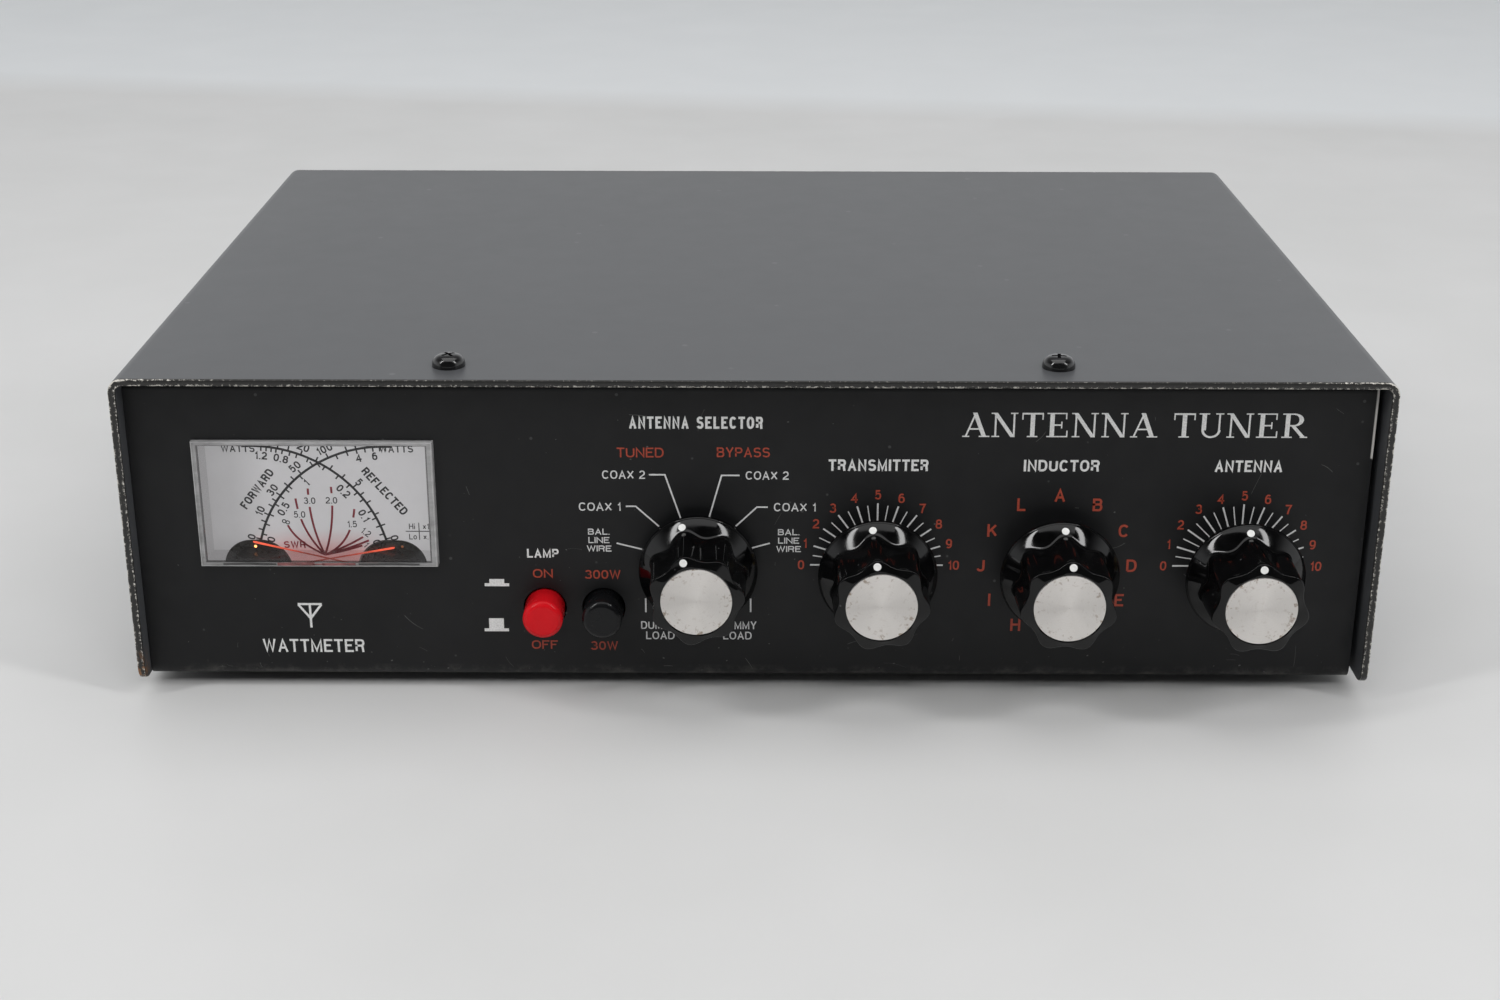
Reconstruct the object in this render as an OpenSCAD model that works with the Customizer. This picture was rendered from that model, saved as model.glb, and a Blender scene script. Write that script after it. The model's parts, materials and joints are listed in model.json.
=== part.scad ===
// Antenna tuner: a sheet-metal case with a cross-needle meter, two push
// switches, four knobs on rotary switches and air variable capacitors,
// and coaxial and wire connectors at the back.
// Millimetres. The front faces -Y, +X is to the right seen from the front,
// and Z = 0 is the surface that the rubber feet stand on.

/* [Case] */
// Outer width of the cover
case_w = 266.7; // [262:0.1:275]
// Height of the cover's sides
case_h = 69; // [68:0.5:76]
// Depth of the cover
case_d = 190.5; // [188:0.5:210]
// Thickness of the cover and chassis sheet
sheet = 1.5; // [1.2:0.1:1.6]
// Outer radius of the cover's bends
cover_bend = 3; // [2:0.5:4]
// Height of the rubber feet
foot_h = 3; // [2:0.5:6]
// How far the front and rear panels sit inside the cover's edges
setback = 5; // [4:0.5:6]
// Gap between the cover and the chassis on the left
gap_left = 0.1; // [0.1:0.1:0.5]
// Gap between the cover and the chassis on the right
gap_right = 1.4; // [0.5:0.1:1.6]

/* [Knobs] */
// Height of the knob axes above the floor
knob_z = 29.8; // [28:0.1:31]
// Place of the antenna selector knob from the middle
selector_x = -11.7; // [-12:0.1:-11]
// Place of the transmitter knob from the middle
transmitter_x = 26.5; // [26:0.1:27]
// Place of the inductor knob from the middle
inductor_x = 65.1; // [64.5:0.1:65.5]
// Place of the antenna knob from the middle
antenna_x = 104.3; // [103.5:0.1:104.5]
// Radius of the skirt round a knob
skirt_r = 12.7; // [12:0.1:13]
// Radius over the lobes of a knob's grip
grip_r = 10.4; // [10:0.1:10.8]
// Number of lobes round the grip
lobes = 7; // [5:1:9]
// Height of a knob from its skirt to its inlay
knob_h = 16.7; // [16:0.1:17]
// Radius of the metal inlay
inlay_r = 7.4; // [7:0.1:7.6]

/* [Meter] */
// Place of the meter from the middle
meter_x = -93; // [-94:0.1:-92]
// Height of the middle of the window
meter_z = 43.65; // [43:0.05:44]
// Width of the window
window_w = 50.8; // [49:0.1:52]
// Height of the window
window_h = 28.4; // [27:0.1:30]
// Half the distance between the needle pivots
pivot_dx = 14.05; // [13.5:0.05:14.5]
// How far the pivots are below the middle of the window
pivot_dz = 17.4; // [17:0.1:18]

/* [Buttons] */
// Place of the red lamp button from the middle
lamp_x = -45; // [-46:0.1:-44]
// Place of the black range button from the middle
range_x = -32.3; // [-33:0.1:-32]
// Height of the buttons above the floor
button_z = 19.5; // [19:0.1:20]
// Radius of a button cap
button_r = 4.3; // [4:0.1:4.4]
// How far a button stands out of the panel
button_out = 7.1; // [6:0.1:8]

/* [Back] */
// Height of the connectors on the rear panel
rear_z = 38; // [36:0.5:40]
// Place of the first coaxial socket from the middle
coax_x0 = -105; // [-106:1:-104]
// Distance from one coaxial socket to the next
coax_pitch = 33; // [30:1:34]
// Place of the first wire terminal from the middle
wire_x0 = 35; // [34:1:36]
// Distance from one wire terminal to the next
wire_pitch = 25; // [23:1:25]
// Place of the ground stud from the middle
ground_x = 112; // [110:1:113]
// Place of the direct current jack from the middle
jack_x = -117; // [-118:1:-116]
// Height of the direct current jack
jack_z = 16; // [14:1:17]

/* [Hidden] */
$fn = 64;

// Levels and planes of the case
knob_reach = 18.5;                  // antenna knob's front to the cover's front edge
rear_reach = 17;                    // ends of the wire studs to the cover's back edge
cover_y0 = -(case_d + rear_reach - knob_reach) / 2;
cover_y1 = cover_y0 + case_d;
panel_y = cover_y0 + setback;       // outer face of the front panel
inner_y = panel_y + sheet;          // inner face of the front panel
rear_y = cover_y1 - setback;        // outer face of the rear panel
rear_inner_y = rear_y - sheet;
cover_lift = 0.9;                   // cover's lower edges above the chassis bottom
cover_z0 = foot_h + cover_lift;
cover_z1 = cover_z0 + case_h;
floor_z = foot_h + sheet;           // upper face of the chassis bottom
roof_z = cover_z1 - sheet;          // under face of the cover's top
chassis_x0 = -case_w / 2 + sheet + gap_left;
chassis_x1 = case_w / 2 - sheet - gap_right;
chassis_bend = 2.5;
lip_d = 12;

// Screws and small holes
cover_screw_x = 64;
cover_screw_y = cover_y0 + 10;
side_screw_y = rear_inner_y - 6;
side_screw_z = 40;
screw_head_r = 3.5;
screw_head_h = 2.6;
screw_r = 1.45;
screw_hole_r = 1.6;
cover_hole_r = 2.1;

// Knobs: each one stands a little differently on its shaft
selector_face = cover_y0 - 14.9;
transmitter_face = cover_y0 - 17.3;
inductor_face = cover_y0 - 17.6;
antenna_face = cover_y0 - knob_reach;
selector_angle = 107;
transmitter_angle = 97;
inductor_angle = 88;
antenna_angle = 91;
inlay_t = 0.8;
skirt_t = 1.1;
skirt_cone_h = 2.7;
scoop_r = 5.5;
scoop_depth = 1.7;
shaft_r = 3.175;
running_gap = 0.04;
bore_r = shaft_r + running_gap;
bushing_r = 4.75;
bushing_hole_r = 4.85;
nut_t = 2.4;
nut_af = 12.7;

// Buttons
button_hole_r = 4.7;
button_travel = 3;
cap_len = 9.6;
stem_w = 3.4;
stem_gap = 0.08;
push_w = 8;
push_y0 = inner_y + 5;
push_len = 20;
push_board_t = 1.6;
push_board_y1 = push_y0 + 27;

// Rotary switches
wafer_r = 16.5;
wafer_t = 1.6;
wafer_hole_r = 9;
rod_dx = 12.8;
rod_r = 1.5;
collar_r = 2.3;
plate_t = 1.6;
selector_wafers = [12, 24, 36];     // distances behind the panel
inductor_wafers = [12, 26];
selector_bushing_y = panel_y - 2.6;
inductor_bushing_y = panel_y - 4.9;

// Capacitors
cap_y0 = inner_y + 26;
cap_y1 = cap_y0 + 46;
cap_half_w = 18;
cap_half_h = 20;
rotor_r = 14;
vane_t = 0.6;
vane_pitch = 2.8;
vanes = 14;
vane_y0 = cap_y0 + 5;
hub_r = 4.2;
vane_flat_x = -0.7;                 // straight edge of a rotor vane, past the shaft's middle
stator_rod = [-14, 12];
stator_rod_r = 1.3;
stator_bush_r = 3.05;
tie_rod_r = 1.6;
tie_rods = [[15, 17], [15, -17], [-15.8, -17.8]];
cap_foot_z = 9.8;

// Coil and balun
coil_y = 22;
coil_z = 37;
coil_r = 20;
wire_r = 0.9;
coil_turns = 18;
coil_pitch = 3.6;
coil_x0 = 20;
coil_post_t = 6;
coil_posts = [coil_x0 - 7.5, coil_x0 + coil_turns * coil_pitch + 3.7];
balun_pos = [-40, 32];
balun_ro = 26;
balun_ri = 15;
balun_z0 = 6.6;
balun_h = 26;
balun_turns = 14;
balun_wire = 1.5;

// Coupler board
board_x0 = -125;
board_y0 = 18;
board_w = 50;
board_d = 52;
board_z = 12;
board_t = 1.6;

// Back
flange_w = 25.4;
flange_t = 1.6;
flange_screw = 9.13;
barrel_r = 7.93;
barrel_len = 16.3;
socket_bore_r = 6.3;
socket_depth = 8;
socket_body_r = 6.6;
contact_r = 2.6;
contact_bore_r = 2;
stud_r = 2.4;
nut_small_af = 9.5;
stud_nut_t = 2.5;
cone_h = 10;
cone_r0 = 8;
cone_r1 = 6;
wing_len = 5.5;
wing_r = 10.5;

coax_xs = [for (i = [0:3]) coax_x0 + i * coax_pitch];
wire_xs = [for (i = [0:2]) wire_x0 + i * wire_pitch];

// ---- helpers ----

// Runs a cylinder along +Y from y0 to y1 at x, z
module along_y(x, z, y0, y1, r) {
    translate([x, y0, z]) rotate([-90, 0, 0]) cylinder(h = y1 - y0, r = r);
}

// Runs a cone along +Y from y0 to y1 at x, z
module cone_y(x, z, y0, y1, r0, r1) {
    translate([x, y0, z]) rotate([-90, 0, 0]) cylinder(h = y1 - y0, r1 = r0, r2 = r1);
}

// A box given by its lowest and highest corners
module block(low, high) {
    translate(low) cube(high - low);
}

// Turns a child about the Y axis at x, z, so that angle a runs as a dial does
module turned(x, z, a) {
    translate([x, 0, z]) rotate([0, -a, 0]) children();
}

// A bend in sheet metal, a quarter ring in the first quadrant
module bend(r_out) {
    intersection() {
        difference() {
            circle(r = r_out);
            circle(r = r_out - sheet);
        }
        square(r_out);
    }
}

// A pan-head screw standing on Z = 0 with its shank below
module pan_screw(head_r, head_h, shank_r, shank_len) {
    difference() {
        intersection() {
            cylinder(h = head_h, r = head_r);
            translate([0, 0, head_h - head_r * 1.9]) sphere(r = head_r * 1.9);
        }
        for (a = [0, 90]) {
            rotate([0, 0, a + 20])
                translate([-head_r * 0.55, -head_r * 0.12, head_h * 0.45])
                    cube([head_r * 1.1, head_r * 0.24, head_h]);
        }
    }
    translate([0, 0, -shank_len]) cylinder(h = shank_len, r = shank_r);
}

// A hexagonal nut along +Y from y0
module hex_nut(x, z, y0, t, across_flats, hole_r) {
    difference() {
        translate([x, y0, z]) rotate([-90, 0, 0])
            cylinder(h = t, r = across_flats / sqrt(3), $fn = 6);
        along_y(x, z, y0 - 1, y0 + t + 1, hole_r);
    }
}

// ---- case ----

// The side view of the chassis: bottom, two panels and their top lips
module chassis_profile() {
    r = chassis_bend;
    translate([panel_y + r, foot_h]) square([rear_y - panel_y - 2 * r, sheet]);
    for (side = [0, 1]) {
        translate([side * (panel_y + rear_y), 0]) mirror([side, 0, 0]) {
            translate([panel_y, foot_h + r]) square([sheet, roof_z - foot_h - 2 * r]);
            translate([panel_y + r, roof_z - sheet]) square([lip_d - r, sheet]);
            translate([panel_y + r, foot_h + r]) rotate(180) bend(r);
            translate([panel_y + r, roof_z - r]) rotate(90) bend(r);
        }
    }
}

module panel_holes() {
    for (x = [selector_x, transmitter_x, inductor_x, antenna_x]) {
        along_y(x, knob_z, panel_y - 1, inner_y + 1, bushing_hole_r);
    }
    for (x = [lamp_x, range_x]) {
        along_y(x, button_z, panel_y - 1, inner_y + 1, button_hole_r);
    }
    translate([meter_x, panel_y, meter_z])
        cube([window_w + 0.4, 10, window_h + 0.4], center = true);
}

module rear_holes() {
    for (x = coax_xs) {
        along_y(x, rear_z, rear_inner_y - 1, rear_y + 1, socket_body_r + 0.2);
        for (dx = [-1, 1], dz = [-1, 1]) {
            along_y(x + dx * flange_screw, rear_z + dz * flange_screw,
                rear_inner_y - 1, rear_y + 1, screw_hole_r);
        }
    }
    for (x = wire_xs) {
        along_y(x, rear_z, rear_inner_y - 1, rear_y + 1, 5.1);
    }
    along_y(ground_x, rear_z, rear_inner_y - 1, rear_y + 1, stud_r + 0.1);
    along_y(jack_x, jack_z, rear_inner_y - 1, rear_y + 1, 4.1);
}

// Holes through the chassis bottom for the screws that come from below
module bottom_holes() {
    for (p = bottom_screws()) {
        translate([p[0], p[1], foot_h - 1]) cylinder(h = sheet + 2, r = screw_hole_r);
    }
}

// Places of the screws through the chassis bottom
function bottom_screws() = concat(
    [for (x = [transmitter_x, antenna_x], y = [cap_y0 + 6, cap_y1 - 6]) [x, y]],
    [for (x = coil_posts) [x + coil_post_t / 2, coil_y]]
);

module chassis() {
    color("#26282a") difference() {
        union() {
            translate([chassis_x0, 0, 0]) rotate([90, 0, 90])
                linear_extrude(chassis_x1 - chassis_x0) chassis_profile();
            // side flanges of the rear panel, which take the side screws
            for (x = [chassis_x0, chassis_x1 - sheet]) {
                block([x, rear_inner_y - 14, 15], [x + sheet, rear_inner_y, 60]);
            }
        }
        panel_holes();
        rear_holes();
        bottom_holes();
        for (x = [-cover_screw_x, cover_screw_x]) {
            translate([x, cover_screw_y, roof_z - 3]) cylinder(h = 4, r = screw_r + 0.05);
        }
        translate([chassis_x0 - 1, side_screw_y, side_screw_z]) rotate([0, 90, 0])
            cylinder(h = chassis_x1 - chassis_x0 + 2, r = screw_r + 0.05);
    }
}

// The front view of the cover: two sides and a top with rounded bends
module cover_profile() {
    r = cover_bend;
    translate([-case_w / 2 + r, cover_z1 - sheet]) square([case_w - 2 * r, sheet]);
    for (side = [0, 1]) {
        mirror([side, 0, 0]) {
            translate([case_w / 2 - sheet, cover_z0]) square([sheet, case_h - r]);
            translate([case_w / 2 - r, cover_z1 - r]) bend(r);
        }
    }
}

// Takes the sharp lower corners off the cover's sides
module cover_corner(y, turn) {
    r = 3;
    translate([0, y, cover_z0]) rotate([90, 0, 90])
        translate([0, 0, -case_w / 2 - 1]) linear_extrude(case_w + 2)
            mirror([turn, 0, 0]) difference() {
                translate([-1, -1]) square(r + 1);
                translate([r, r]) circle(r = r);
            }
}

module cover() {
    color("#55585b") difference() {
        translate([0, cover_y1, 0]) rotate([90, 0, 0]) linear_extrude(case_d) cover_profile();
        cover_corner(cover_y0, 0);
        cover_corner(cover_y1, 1);
        for (x = [-cover_screw_x, cover_screw_x]) {
            translate([x, cover_screw_y, roof_z - 1]) cylinder(h = 5, r = cover_hole_r);
        }
        translate([-case_w / 2 - 1, side_screw_y, side_screw_z]) rotate([0, 90, 0])
            cylinder(h = case_w + 2, r = cover_hole_r);
    }
}

module cover_screws() {
    color("#101112") {
        for (x = [-cover_screw_x, cover_screw_x]) {
            translate([x, cover_screw_y, cover_z1])
                pan_screw(screw_head_r, screw_head_h, screw_r, 8);
        }
        for (side = [-1, 1]) {
            translate([side * case_w / 2, side_screw_y, side_screw_z]) rotate([0, side * 90, 0])
                pan_screw(screw_head_r, screw_head_h, screw_r, 8);
        }
    }
}

module rubber_feet() {
    color("#1b1b1b") for (x = [-113, 113], y = [panel_y + 14, rear_y - 14]) {
        translate([x, y, 0]) cylinder(h = foot_h, r1 = 5.5, r2 = 6.2);
    }
}

// ---- meter ----

meter_half_w = 28.5;
meter_z0 = 16;
meter_z1 = 61;
window_out = 1.2;
window_t = 1.5;
front_t = 1.5;
meter_y1 = inner_y + 31;
dial_y = panel_y + 5;
dial_t = 0.5;
pivot_z = meter_z - pivot_dz;
needle_r = 30;
needle_t = 0.3;
forward_y = dial_y - 1.3;
reflected_y = dial_y - 0.7;
needle_rest_forward = 180 - 13.5;
needle_rest_reflected = 10.4;
movement_r = 6.6;

// The clear front: a box that shows through the panel, on a flange behind it
module meter_window() {
    color([0.85, 0.9, 0.92, 0.35]) difference() {
        union() {
            translate([meter_x - window_w / 2, panel_y - window_out, meter_z - window_h / 2])
                cube([window_w, window_out + sheet + front_t, window_h]);
            block([meter_x - meter_half_w, inner_y, meter_z0],
                [meter_x + meter_half_w, inner_y + front_t, meter_z1]);
        }
        translate([meter_x - window_w / 2 + window_t, panel_y - window_out + window_t,
                meter_z - window_h / 2 + window_t])
            cube([window_w - 2 * window_t, 10, window_h - 2 * window_t]);
    }
}

module meter_case() {
    wall = 1.5;
    y0 = inner_y + front_t;
    color("#d9d6cd") difference() {
        block([meter_x - meter_half_w, y0, meter_z0], [meter_x + meter_half_w, meter_y1, meter_z1]);
        block([meter_x - meter_half_w + wall, y0 - 1, meter_z0 + wall],
            [meter_x + meter_half_w - wall, meter_y1 - wall, meter_z1 - wall]);
    }
}

// The printed scale plate, cut away round the two pivots
module meter_dial() {
    color("#e8e6df") difference() {
        block([meter_x - meter_half_w + 1.5, dial_y, meter_z0 + 1.5],
            [meter_x + meter_half_w - 1.5, dial_y + dial_t, meter_z1 - 1.5]);
        for (side = [-1, 1]) {
            along_y(meter_x + side * pivot_dx, pivot_z, dial_y - 1, dial_y + 2, movement_r + 0.4);
        }
    }
}

// Two moving-coil movements: magnet rings with closed back plates
module meter_movements() {
    y0 = dial_y + 0.2;
    color("#3a3632") for (side = [-1, 1]) {
        x = meter_x + side * pivot_dx;
        difference() {
            along_y(x, pivot_z, y0, y0 + 24, movement_r);
            along_y(x, pivot_z, y0 + 1.2, y0 + 22, 4.6);
            along_y(x, pivot_z, y0 - 1, y0 + 2, 0.75);
        }
    }
}

module meter_lamp() {
    color("#efe2b8") translate([meter_x, dial_y + 12, meter_z1 - 9]) {
        cylinder(h = 5, r = 2.2);
        sphere(r = 2.2);
        translate([0, 0, 5]) cylinder(h = 2.5, r = 2.6);
    }
}

// A needle on its spindle; angle a is counted from +X towards +Z
module needle(x, y, a) {
    turned(x, pivot_z, a) {
        translate([1, y, -0.3]) cube([needle_r - 1, needle_t, 0.6]);
        translate([-6, y, -0.6]) cube([6, needle_t, 1.2]);
        along_y(0, 0, y, y + needle_t, 1.5);
        along_y(0, 0, y + needle_t, dial_y + 20, 0.7);
    }
    // the moving coil's bobbin inside the magnet
    translate([x, dial_y + 8, pivot_z]) cube([5.6, 10, 3.2], center = true);
}

module needle_forward() {
    color("#e2603c") needle(meter_x + pivot_dx, forward_y, needle_rest_forward);
}

module needle_reflected() {
    color("#e2603c") needle(meter_x - pivot_dx, reflected_y, needle_rest_reflected);
}

// ---- push switches ----

module button(x) {
    y0 = panel_y - button_out;
    chamfer = 0.8;
    difference() {
        union() {
            cone_y(x, button_z, y0, y0 + chamfer, button_r - chamfer, button_r);
            along_y(x, button_z, y0 + chamfer, y0 + cap_len, button_r);
        }
        block([x - stem_w / 2, y0 + 3, button_z - stem_w / 2],
            [x + stem_w / 2, y0 + cap_len + 1, button_z + stem_w / 2]);
    }
}

module lamp_button() {
    color("#c8141e") button(lamp_x);
}

module range_button() {
    color("#1c1d1f") button(range_x);
}

// The stem that carries the cap and runs back into the switch
module plunger(x) {
    block([x - stem_w / 2, panel_y - button_out + 3, button_z - stem_w / 2],
        [x + stem_w / 2, push_y0 + push_len - 2 - button_travel - 0.4, button_z + stem_w / 2]);
}

module lamp_plunger() {
    color("#e9e7e0") plunger(lamp_x);
}

module range_plunger() {
    color("#e9e7e0") plunger(range_x);
}

module push_switch_bodies() {
    slot = stem_w / 2 + stem_gap;
    color("#2c3038") for (x = [lamp_x, range_x]) {
        difference() {
            block([x - push_w / 2, push_y0, button_z - push_w / 2],
                [x + push_w / 2, push_y0 + push_len, button_z + push_w / 2]);
            block([x - slot, push_y0 - 1, button_z - slot],
                [x + slot, push_y0 + push_len - 2, button_z + slot]);
        }
    }
}

push_board_z = button_z - push_w / 2 - push_board_t;
push_board_x = [lamp_x - 11, range_x + 8];
push_board_holes = [
    [push_board_x[0] + 3, push_board_y1 - 4],
    [push_board_x[1] - 3, push_board_y1 - 4],
    [push_board_x[0] + 3, push_y0 + 3]
];

module push_switch_board() {
    color("#7a6a34") difference() {
        block([push_board_x[0], push_y0, push_board_z],
            [push_board_x[1], push_board_y1, push_board_z + push_board_t]);
        for (p = push_board_holes) {
            translate([p[0], p[1], push_board_z - 1]) cylinder(h = 4, r = screw_hole_r);
        }
    }
}

board_holes = [for (x = [board_x0 + 4, board_x0 + board_w - 4],
    y = [board_y0 + 4, board_y0 + board_d - 4]) [x, y]];

// Round pillars under both circuit boards
module spacers() {
    color("#c9ccd0") {
        for (p = push_board_holes) pillar(p, push_board_z);
        for (p = board_holes) pillar(p, board_z);
    }
}

module pillar(p, top) {
    translate([p[0], p[1], floor_z]) difference() {
        cylinder(h = top - floor_z, r = 2.6);
        translate([0, 0, 1]) cylinder(h = top, r = screw_r + 0.05);
    }
}

// ---- rotary switches ----

// Bushing, front plate and the two rods that carry the wafers
module switch_frame(x, bushing_y, wafers) {
    end_y = inner_y + wafers[len(wafers) - 1] + wafer_t + 2;
    difference() {
        union() {
            along_y(x, knob_z, bushing_y, inner_y, bushing_r);
            block([x - 15.5, inner_y, knob_z - 12], [x + 15.5, inner_y + plate_t, knob_z + 12]);
            for (side = [-1, 1]) {
                along_y(x + side * rod_dx, knob_z, inner_y + plate_t, end_y + 1, rod_r);
                along_y(x + side * rod_dx, knob_z, inner_y + plate_t, inner_y + wafers[0], collar_r);
                for (i = [0:len(wafers) - 2]) {
                    along_y(x + side * rod_dx, knob_z, inner_y + wafers[i] + wafer_t,
                        inner_y + wafers[i + 1], collar_r);
                }
                along_y(x + side * rod_dx, knob_z, end_y - 2, end_y, collar_r);
            }
        }
        along_y(x, knob_z, bushing_y - 1, inner_y + plate_t + 1, bore_r);
    }
}

module switch_frames() {
    color("#b9bcc0") {
        switch_frame(selector_x, selector_bushing_y, selector_wafers);
        switch_frame(inductor_x, inductor_bushing_y, inductor_wafers);
    }
}

module wafer(x, y) {
    difference() {
        along_y(x, knob_z, y, y + wafer_t, wafer_r);
        along_y(x, knob_z, y - 1, y + wafer_t + 1, wafer_hole_r);
        for (side = [-1, 1]) {
            along_y(x + side * rod_dx, knob_z, y - 1, y + wafer_t + 1, rod_r + 0.05);
        }
    }
}

module switch_wafers() {
    color("#8a5a2b") {
        for (d = selector_wafers) wafer(selector_x, inner_y + d);
        for (d = inductor_wafers) wafer(inductor_x, inner_y + d);
    }
}

// Twelve solder clips round the front face of a wafer
module clips(x, y) {
    for (a = [15:30:345]) {
        turned(x, knob_z, a) block([wafer_hole_r + 0.6, y - 0.4, -0.8], [18.4, y, 0.8]);
    }
}

module switch_contacts() {
    color("#d8d3c4") {
        for (d = selector_wafers) clips(selector_x, inner_y + d);
        for (d = inductor_wafers) clips(inductor_x, inner_y + d);
    }
}

// A switch shaft with its detent wheel behind the front plate
module switch_shaft(x, face, wafers) {
    end_y = inner_y + wafers[len(wafers) - 1] + wafer_t + 1.5;
    along_y(x, knob_z, face + 2.4, end_y, shaft_r);
    difference() {
        along_y(x, knob_z, inner_y + plate_t + 1, inner_y + plate_t + 2.2, 9.5);
        for (a = [0:30:330]) {
            turned(x, knob_z, a) along_y(9.8, 0, inner_y, inner_y + 6, 1.2);
        }
    }
}

module switch_rotor(x, y) {
    difference() {
        union() {
            along_y(x, knob_z, y + 0.2, y + wafer_t - 0.2, wafer_hole_r - 0.3);
            along_y(x, knob_z, y - 1.5, y + wafer_t + 1, 5);
        }
        along_y(x, knob_z, y - 3, y + wafer_t + 3, bore_r);
        // the blanked-out sector of the wiper ring
        turned(x, knob_z, 20) block([5.6, y - 3, -2], [wafer_hole_r + 1, y + wafer_t + 3, 2]);
    }
}

module selector_shaft() {
    color("#c3c6ca") switch_shaft(selector_x, selector_face, selector_wafers);
}

module selector_rotors() {
    color("#ded9c8") for (d = selector_wafers) switch_rotor(selector_x, inner_y + d);
}

module inductor_shaft() {
    color("#c3c6ca") switch_shaft(inductor_x, inductor_face, inductor_wafers);
}

module inductor_rotors() {
    color("#ded9c8") for (d = inductor_wafers) switch_rotor(inductor_x, inner_y + d);
}

// ---- knobs ----

// A skirted knob with scooped sides; face is its foremost plane, and one
// lobe and both dots lie at angle a
module knob(x, face, a) {
    base = face + knob_h;
    turned(x, knob_z, a) difference() {
        union() {
            along_y(0, 0, base - skirt_t, base, skirt_r);
            cone_y(0, 0, base - skirt_t - skirt_cone_h, base - skirt_t, grip_r - 0.6, skirt_r);
            difference() {
                union() {
                    along_y(0, 0, face + 1, base - skirt_t, grip_r);
                    cone_y(0, 0, face, face + 1, grip_r - 1, grip_r);
                }
                for (i = [0:lobes - 1]) {
                    turned(0, 0, (i + 0.5) * 360 / lobes)
                        cone_y(grip_r - scoop_depth + scoop_r, 0, face - 1,
                            base - skirt_t - skirt_cone_h + 0.4, scoop_r + 0.5, scoop_r - 0.3);
                }
            }
        }
        along_y(0, 0, face - 1, face + inlay_t, inlay_r + 0.05);
        along_y(0, 0, face + 2, base + 1, bore_r);
        along_y(0, 0, base - 1.5, base + 1, 8);
    }
}

module inlay(x, face) {
    along_y(x, knob_z, face, face + inlay_t, inlay_r);
}

module selector_knob() {
    color("#101012") knob(selector_x, selector_face, selector_angle);
}

module selector_inlay() {
    color("#c8c4bc") inlay(selector_x, selector_face);
}

module inductor_knob() {
    color("#101012") knob(inductor_x, inductor_face, inductor_angle);
}

module inductor_inlay() {
    color("#c8c4bc") inlay(inductor_x, inductor_face);
}

module transmitter_knob() {
    color("#101012") knob(transmitter_x, transmitter_face, transmitter_angle);
}

module transmitter_inlay() {
    color("#c8c4bc") inlay(transmitter_x, transmitter_face);
}

module antenna_knob() {
    color("#101012") knob(antenna_x, antenna_face, antenna_angle);
}

module antenna_inlay() {
    color("#c8c4bc") inlay(antenna_x, antenna_face);
}

// ---- capacitors ----

// One end plate of a capacitor with a foot turned inwards
module end_plate(x, y, foot_side) {
    foot_y = foot_side > 0 ? y : y + plate_t - 9;
    difference() {
        union() {
            block([x - cap_half_w, y, knob_z - cap_half_h],
                [x + cap_half_w, y + plate_t, knob_z + cap_half_h]);
            block([x - 8, foot_y, cap_foot_z], [x + 8, foot_y + 9, cap_foot_z + plate_t]);
        }
        along_y(x, knob_z, y - 1, y + plate_t + 1, bore_r);
        for (dz = [-1, 1]) {
            along_y(x + stator_rod[0], knob_z + dz * stator_rod[1], y - 1, y + plate_t + 1,
                stator_bush_r + 0.05);
        }
        translate([x, foot_side > 0 ? cap_y0 + 6 : cap_y1 - 6, cap_foot_z - 1])
            cylinder(h = 4, r = screw_hole_r);
    }
}

module capacitor_frame(x) {
    end_plate(x, cap_y0, 1);
    end_plate(x, cap_y1 - plate_t, -1);
    for (p = tie_rods) {
        along_y(x + p[0], knob_z + p[1], cap_y0 + plate_t, cap_y1 - plate_t, tie_rod_r);
    }
}

module capacitor_frames() {
    color("#b4b7ba") {
        capacitor_frame(transmitter_x);
        capacitor_frame(antenna_x);
    }
}

module capacitor_stator(x) {
    for (dz = [-1, 1]) {
        along_y(x + stator_rod[0], knob_z + dz * stator_rod[1], cap_y0 - 1.5, cap_y1 + 1.5,
            stator_rod_r);
    }
    for (i = [0:vanes - 2]) {
        y = vane_y0 + (i + 0.5) * vane_pitch;
        difference() {
            block([x - 16.5, y, knob_z - 15], [x - 2, y + vane_t, knob_z + 15]);
            along_y(x, knob_z, y - 1, y + 2, hub_r + 1.2);
        }
    }
}

module capacitor_stators() {
    color("#cfd2d4") {
        capacitor_stator(transmitter_x);
        capacitor_stator(antenna_x);
    }
}

// Ceramic bushes round the stator rods and nylon blocks under the frames
module capacitor_insulators() {
    color("#efece2") for (x = [transmitter_x, antenna_x]) {
        for (y = [cap_y0, cap_y1 - plate_t], dz = [-1, 1]) {
            difference() {
                along_y(x + stator_rod[0], knob_z + dz * stator_rod[1], y - 1, y + plate_t + 1,
                    stator_bush_r);
                along_y(x + stator_rod[0], knob_z + dz * stator_rod[1], y - 2, y + plate_t + 2,
                    stator_rod_r + 0.05);
            }
        }
        for (y = [cap_y0 + 6, cap_y1 - 6]) {
            difference() {
                block([x - 7, y - 3, floor_z], [x + 7, y + 3, cap_foot_z]);
                translate([x, y, floor_z - 1]) cylinder(h = 8, r = screw_hole_r);
            }
        }
    }
}

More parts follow.
